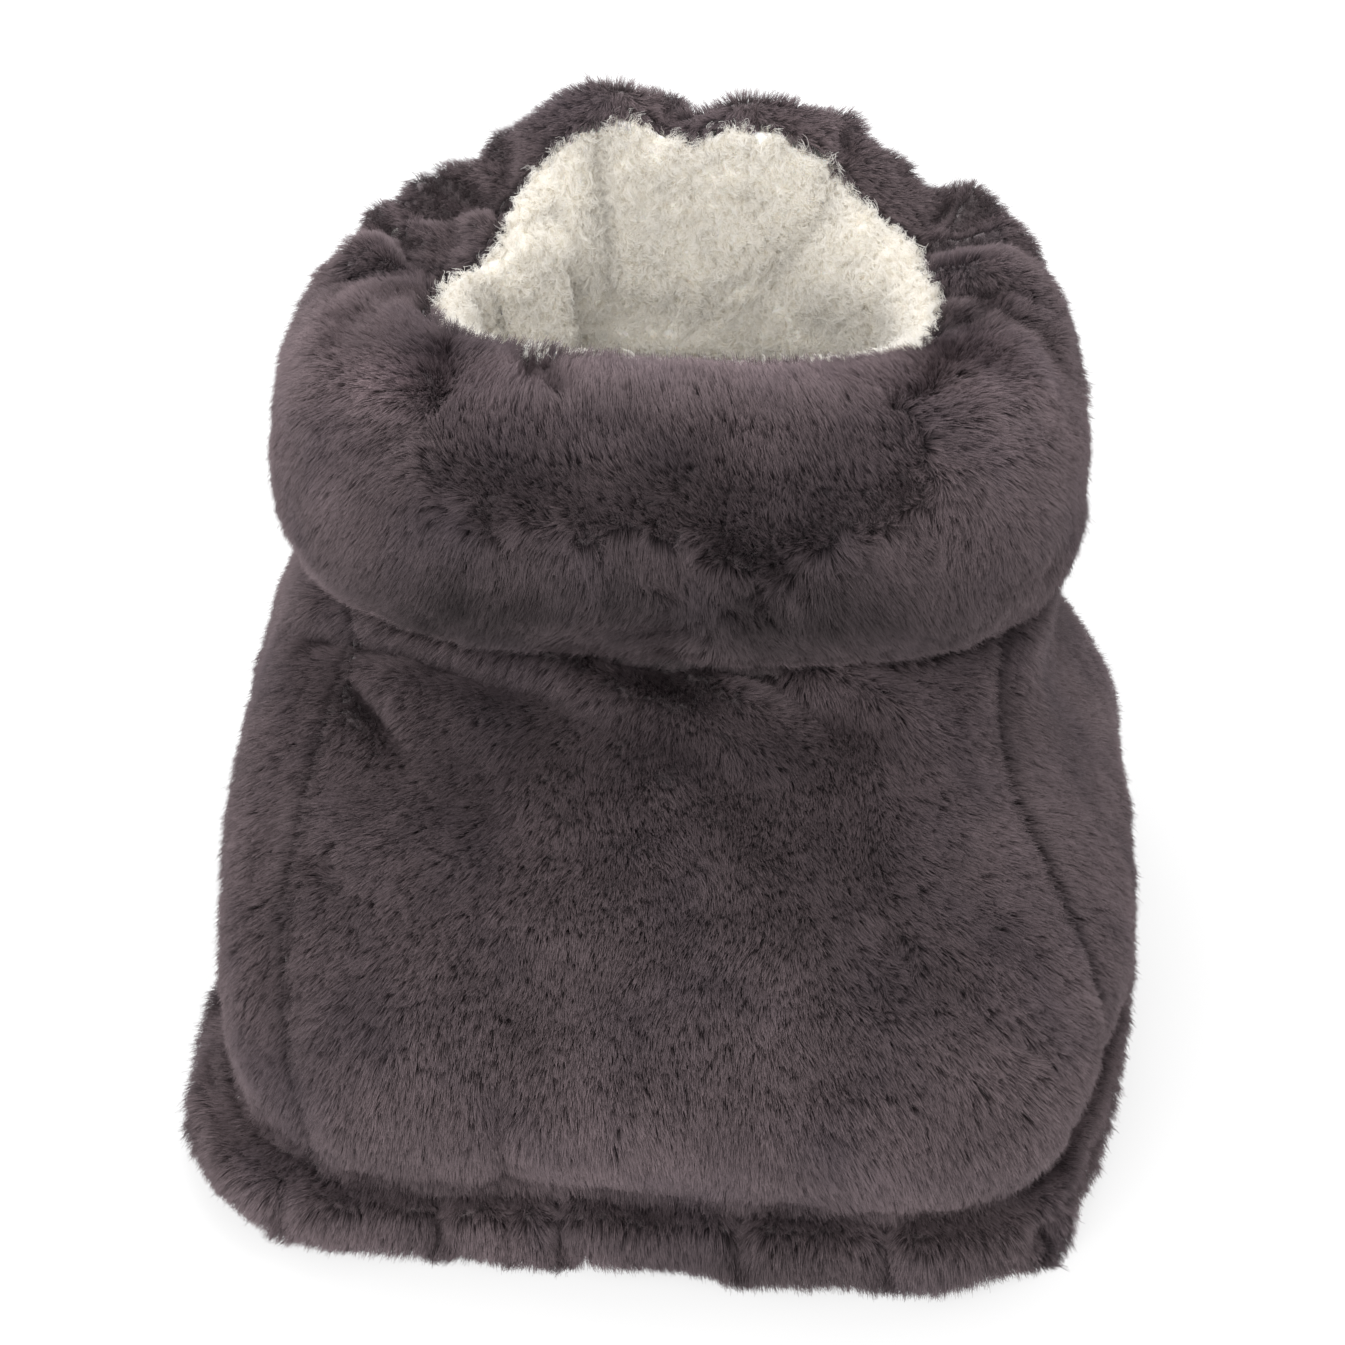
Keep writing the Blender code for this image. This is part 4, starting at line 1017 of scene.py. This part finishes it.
def dress_part(node, name, material, bevel, body=ROOT):
    """A copy of a hard part with its edges rounded."""
    obj = bpy.data.objects.new(name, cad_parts[node].data.copy())
    scene.collection.objects.link(obj)
    weld = obj.modifiers.new("weld", "WELD")
    weld.merge_threshold = 1e-5
    flat = obj.modifiers.new("flat", "DECIMATE")
    flat.decimate_type = "DISSOLVE"
    flat.angle_limit = math.radians(1.0)
    rounded = obj.modifiers.new("rounded", "BEVEL")
    rounded.width = bevel
    rounded.segments = 3
    rounded.limit_method = "ANGLE"
    rounded.angle_limit = math.radians(32)
    bpy.context.view_layer.update()
    mesh = bpy.data.meshes.new_from_object(obj.evaluated_get(bpy.context.evaluated_depsgraph_get()))
    old = obj.data
    obj.modifiers.clear()
    obj.data = mesh
    bpy.data.meshes.remove(old)
    mesh.materials.clear()
    mesh.materials.append(material)
    mesh.shade_smooth()
    mesh.set_sharp_from_angle(angle=math.radians(40))
    mesh.name = name
    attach(obj, body)
    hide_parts(node)


def cloth_slab(name, low, high, across, corner, step, relief):
    """A thin closed sheet that fills a box.

    across names its two long axes, and relief moves its faces along the third.
    """
    low, high = np.array(low), np.array(high)
    through = 3 - sum(across)
    half = (high - low)[list(across)] / 2
    counts = np.maximum((2 * half / step).astype(int), 2)
    u, v = np.meshgrid(*(np.linspace(-h, h, n + 1) for h, n in zip(half, counts)), indexing="ij")
    du, dv = np.abs(u) - (half[0] - corner), np.abs(v) - (half[1] - corner)
    inside_corner = (du > 0) & (dv > 0)
    reach = np.where(inside_corner, np.maximum(du, dv) / np.maximum(np.hypot(du, dv), 1e-9), 1.0)
    u = np.where(inside_corner, np.sign(u) * (half[0] - corner + du * reach), u)
    v = np.where(inside_corner, np.sign(v) * (half[1] - corner + dv * reach), v)
    lift = relief(u, v)
    layers = []
    for level in (low[through], high[through]):
        points = np.empty((u.size, 3))
        points[:, across[0]] = (u + (low + high)[across[0]] / 2).ravel()
        points[:, across[1]] = (v + (low + high)[across[1]] / 2).ravel()
        points[:, through] = level + lift.ravel()
        layers.append(points)
    index = np.arange(u.size).reshape(u.shape)
    quads = np.stack([index[:-1, :-1], index[1:, :-1], index[1:, 1:], index[:-1, 1:]], -1).reshape(-1, 4)
    faces = (quads + u.size).tolist() + quads[:, ::-1].tolist()
    rim = np.concatenate([index[:, 0], index[-1, 1:], index[-2::-1, -1], index[0, -2:0:-1]])
    faces += [(int(a), int(b), int(b) + u.size, int(a) + u.size) for a, b in zip(rim, np.roll(rim, -1))]
    mesh = bpy.data.meshes.new(name)
    mesh.from_pydata(np.concatenate(layers).tolist(), [], faces)
    tidy = bmesh.new()
    tidy.from_mesh(mesh)
    bmesh.ops.recalc_face_normals(tidy, faces=tidy.faces)
    tidy.to_mesh(mesh)
    tidy.free()
    mesh.shade_smooth()
    mesh.set_sharp_from_angle(angle=math.radians(50))
    obj = bpy.data.objects.new(name, mesh)
    scene.collection.objects.link(obj)
    return obj


def pad_relief(u, v):
    """Quilting between the runs of the wire and a sewn line round the edge."""
    edge = np.minimum(HEATER_HALF[0] - np.abs(u), HEATER_HALF[1] - np.abs(v))
    inset, width, depth = SEWN_LINE
    sewn = np.exp(-((edge - inset) / width) ** 2)
    quilt = 0.5 - 0.5 * np.cos(2 * np.pi * v / QUILT_PITCH)
    return QUILT_RISE * quilt - depth * sewn


def tape_relief(u, v):
    """Twill ribs of a zip's tape."""
    return TWILL[0] * np.sin(2 * np.pi * (u + v) / TWILL[1])


def dress_cloth(node, name, material, across, corner, step, relief):
    """A flat piece of cloth in the box of its CAD node."""
    low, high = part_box(node)
    obj = cloth_slab(name, low, high, across, corner, step, relief)
    obj.data.materials.append(material)
    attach(obj, ROOT)
    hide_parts(node)
    return obj


def dress_small_parts():
    """The zip, the inlet, the heater and the sole."""
    nylon = grained("zip_nylon", linear(78, 68, 70), linear(104, 92, 94), 500.0, 0.42)
    nickel = grained("zip_nickel", linear(150, 148, 146), linear(190, 188, 185), 900.0, 0.32, 1.0, 0.00005)
    brass = grained("inlet_brass", linear(196, 160, 84), linear(222, 190, 112), 800.0, 0.28, 1.0, 0.00005)
    black = grained("inlet_plastic", linear(30, 30, 32), linear(48, 48, 50), 1400.0, 0.5, 0.0, 0.0001)
    rubber = grained("gasket_rubber", linear(34, 33, 33), linear(52, 50, 50), 700.0, 0.75, 0.0, 0.0001)
    case = grained("thermostat_case", linear(40, 40, 42), linear(62, 62, 64), 1000.0, 0.55, 0.0, 0.0001)
    sleeve = grained("fuse_sleeve", linear(196, 190, 176), linear(226, 221, 208), 900.0, 0.8,
                     bump_depth=0.0001, weave=0.0005)
    wire = grained("wire_silicone", linear(176, 62, 48), linear(204, 84, 64), 600.0, 0.5, 0.0, 0.00005)
    board = grained("board_card", linear(150, 126, 96), linear(186, 160, 124), 320.0, 0.85)
    for node, name, slot, material, bevel in (
        ("zip_teeth_lower", "teeth_lower", "zip_nylon", nylon, 0.00022),
        ("zip_teeth_upper", "teeth_upper", "zip_nylon", nylon, 0.00022),
        ("zip_bottom_stop", "stop_bottom", "zip_metal", nickel, 0.0004),
        ("zip_top_stop_lower", "stop_top_lower", "zip_metal", nickel, 0.0003),
        ("zip_top_stop_upper", "stop_top_upper", "zip_metal", nickel, 0.0003),
        ("inlet_housing", "inlet_body", "inlet_plastic", black, 0.0004),
        ("inlet_gasket", "inlet_seal", "gasket_rubber", rubber, 0.0002),
        ("inlet_pin_left", "inlet_contact_left", "plated_brass", brass, 0.0002),
        ("inlet_pin_right", "inlet_contact_right", "plated_brass", brass, 0.0002),
        ("thermostat", "thermostat_body", "thermostat_case", case, 0.0003),
        ("thermal_fuse", "fuse_body", "fuse_sleeve", sleeve, 0.0003),
        ("heating_wire", "wire_loop", "wire_sleeve", wire, 0.0001),
        ("lead_wire_left", "lead_left", "wire_sleeve", wire, 0.0001),
        ("lead_wire_right", "lead_right", "wire_sleeve", wire, 0.0001),
        ("sole_board", "board_card", "board", board, 0.0003),
    ):
        dress_part(node, name, material, bevel)
    dress_part("zip_slider", "slider_body", nickel, 0.0003, "zip_slider")
    dress_part("zip_pull", "pull_tab", nickel, 0.00025, "zip_pull")
    dress_part("outsole", "outsole_cloth", dotted_fabric(), 0.0003)
    felt = grained("pad_felt", linear(214, 212, 206), linear(238, 236, 231), 800.0, 0.9, 0.0, 0.0002, 0.0007)
    tape = grained("zip_tape", linear(72, 63, 65), linear(100, 89, 91), 900.0, 0.85, 0.0, 0.0001, 0.0007)
    for node, name, below in (("heater_cover_bottom", "pad_back", "board_card"),
                              ("heater_cover_top", "pad_face", "wire_loop")):
        cover = dress_cloth(node, name, felt, (0, 1), 0.010, 0.0025, pad_relief)
    for half in ("lower", "upper"):
        dress_cloth("zip_tape_" + half, "tape_" + half, tape, (0, 2), 0.001, 0.0008, tape_relief)


scene.view_settings.view_transform = "Standard"
make_camera()
make_light()
make_floor()
seam_points = panel_seams()
skin_materials = {
    "fur": fur_skin_material(),
    "strands": fur_strand_material(),
    "sherpa": sherpa_material("sherpa_skin"),
    "backed": sherpa_material("sherpa_backed", scrim_lift=SCRIM_LIFT),
    "footbed": sherpa_material("sherpa_footbed", scrim_lift=FOOTBED_SCRIM_LIFT),
    "curls": sherpa_material("sherpa_curls", strands=True),
    "wadding": wadding_material(),
    "foam": foam_material(),
}
STUFFED = (
    "vamp_wadding", "side_left_wadding", "side_right_wadding", "heel_wadding", "cuff_filling", "sole_foam",
)
inside = neighbours(*STUFFED, "footbed")
for seed, (node, name, folds) in enumerate((
    ("vamp_panel", "vamp_plush", UPPER_FOLDS),
    ("side_left_panel", "side_left_plush", UPPER_FOLDS),
    ("side_right_panel", "side_right_plush", UPPER_FOLDS),
    ("heel_panel", "heel_plush", ()),
    ("cuff_cover", "cuff_plush", CUFF_FOLDS),
    ("sole_trim", "trim_plush", TRIM_FOLDS),
)):
    dress_fur(node, name, inside, 100 + seed, folds)
ZIP_PIECES = ("zip_tape_lower", "zip_tape_upper", "zip_teeth_lower", "zip_slider")
inside = neighbours(*STUFFED, "sole_trim", *ZIP_PIECES)
for seed, (node, name, folds) in enumerate((
    ("collar_lining", "collar_sherpa", LINING_FOLDS),
    ("vamp_lining", "vamp_sherpa", ()),
    ("side_left_lining", "side_left_sherpa", ()),
    ("side_right_lining", "side_right_sherpa", ()),
    ("heel_lining", "heel_sherpa", ()),
    ("footbed", "footbed_sherpa", ()),
)):
    lining = dress_sherpa(node, name, inside, 200 + seed, folds)
for panel in ("vamp", "side_left", "side_right", "heel"):
    dress_stuffing(panel + "_wadding", panel + "_batting", "wadding", folds=UPPER_FOLDS)
dress_stuffing("cuff_filling", "cuff_stuffing", "wadding", folds=CUFF_FOLDS + LINING_FOLDS)
dress_stuffing("sole_foam", "sole_cushion", "foam", wave=0.0002)
dress_small_parts()
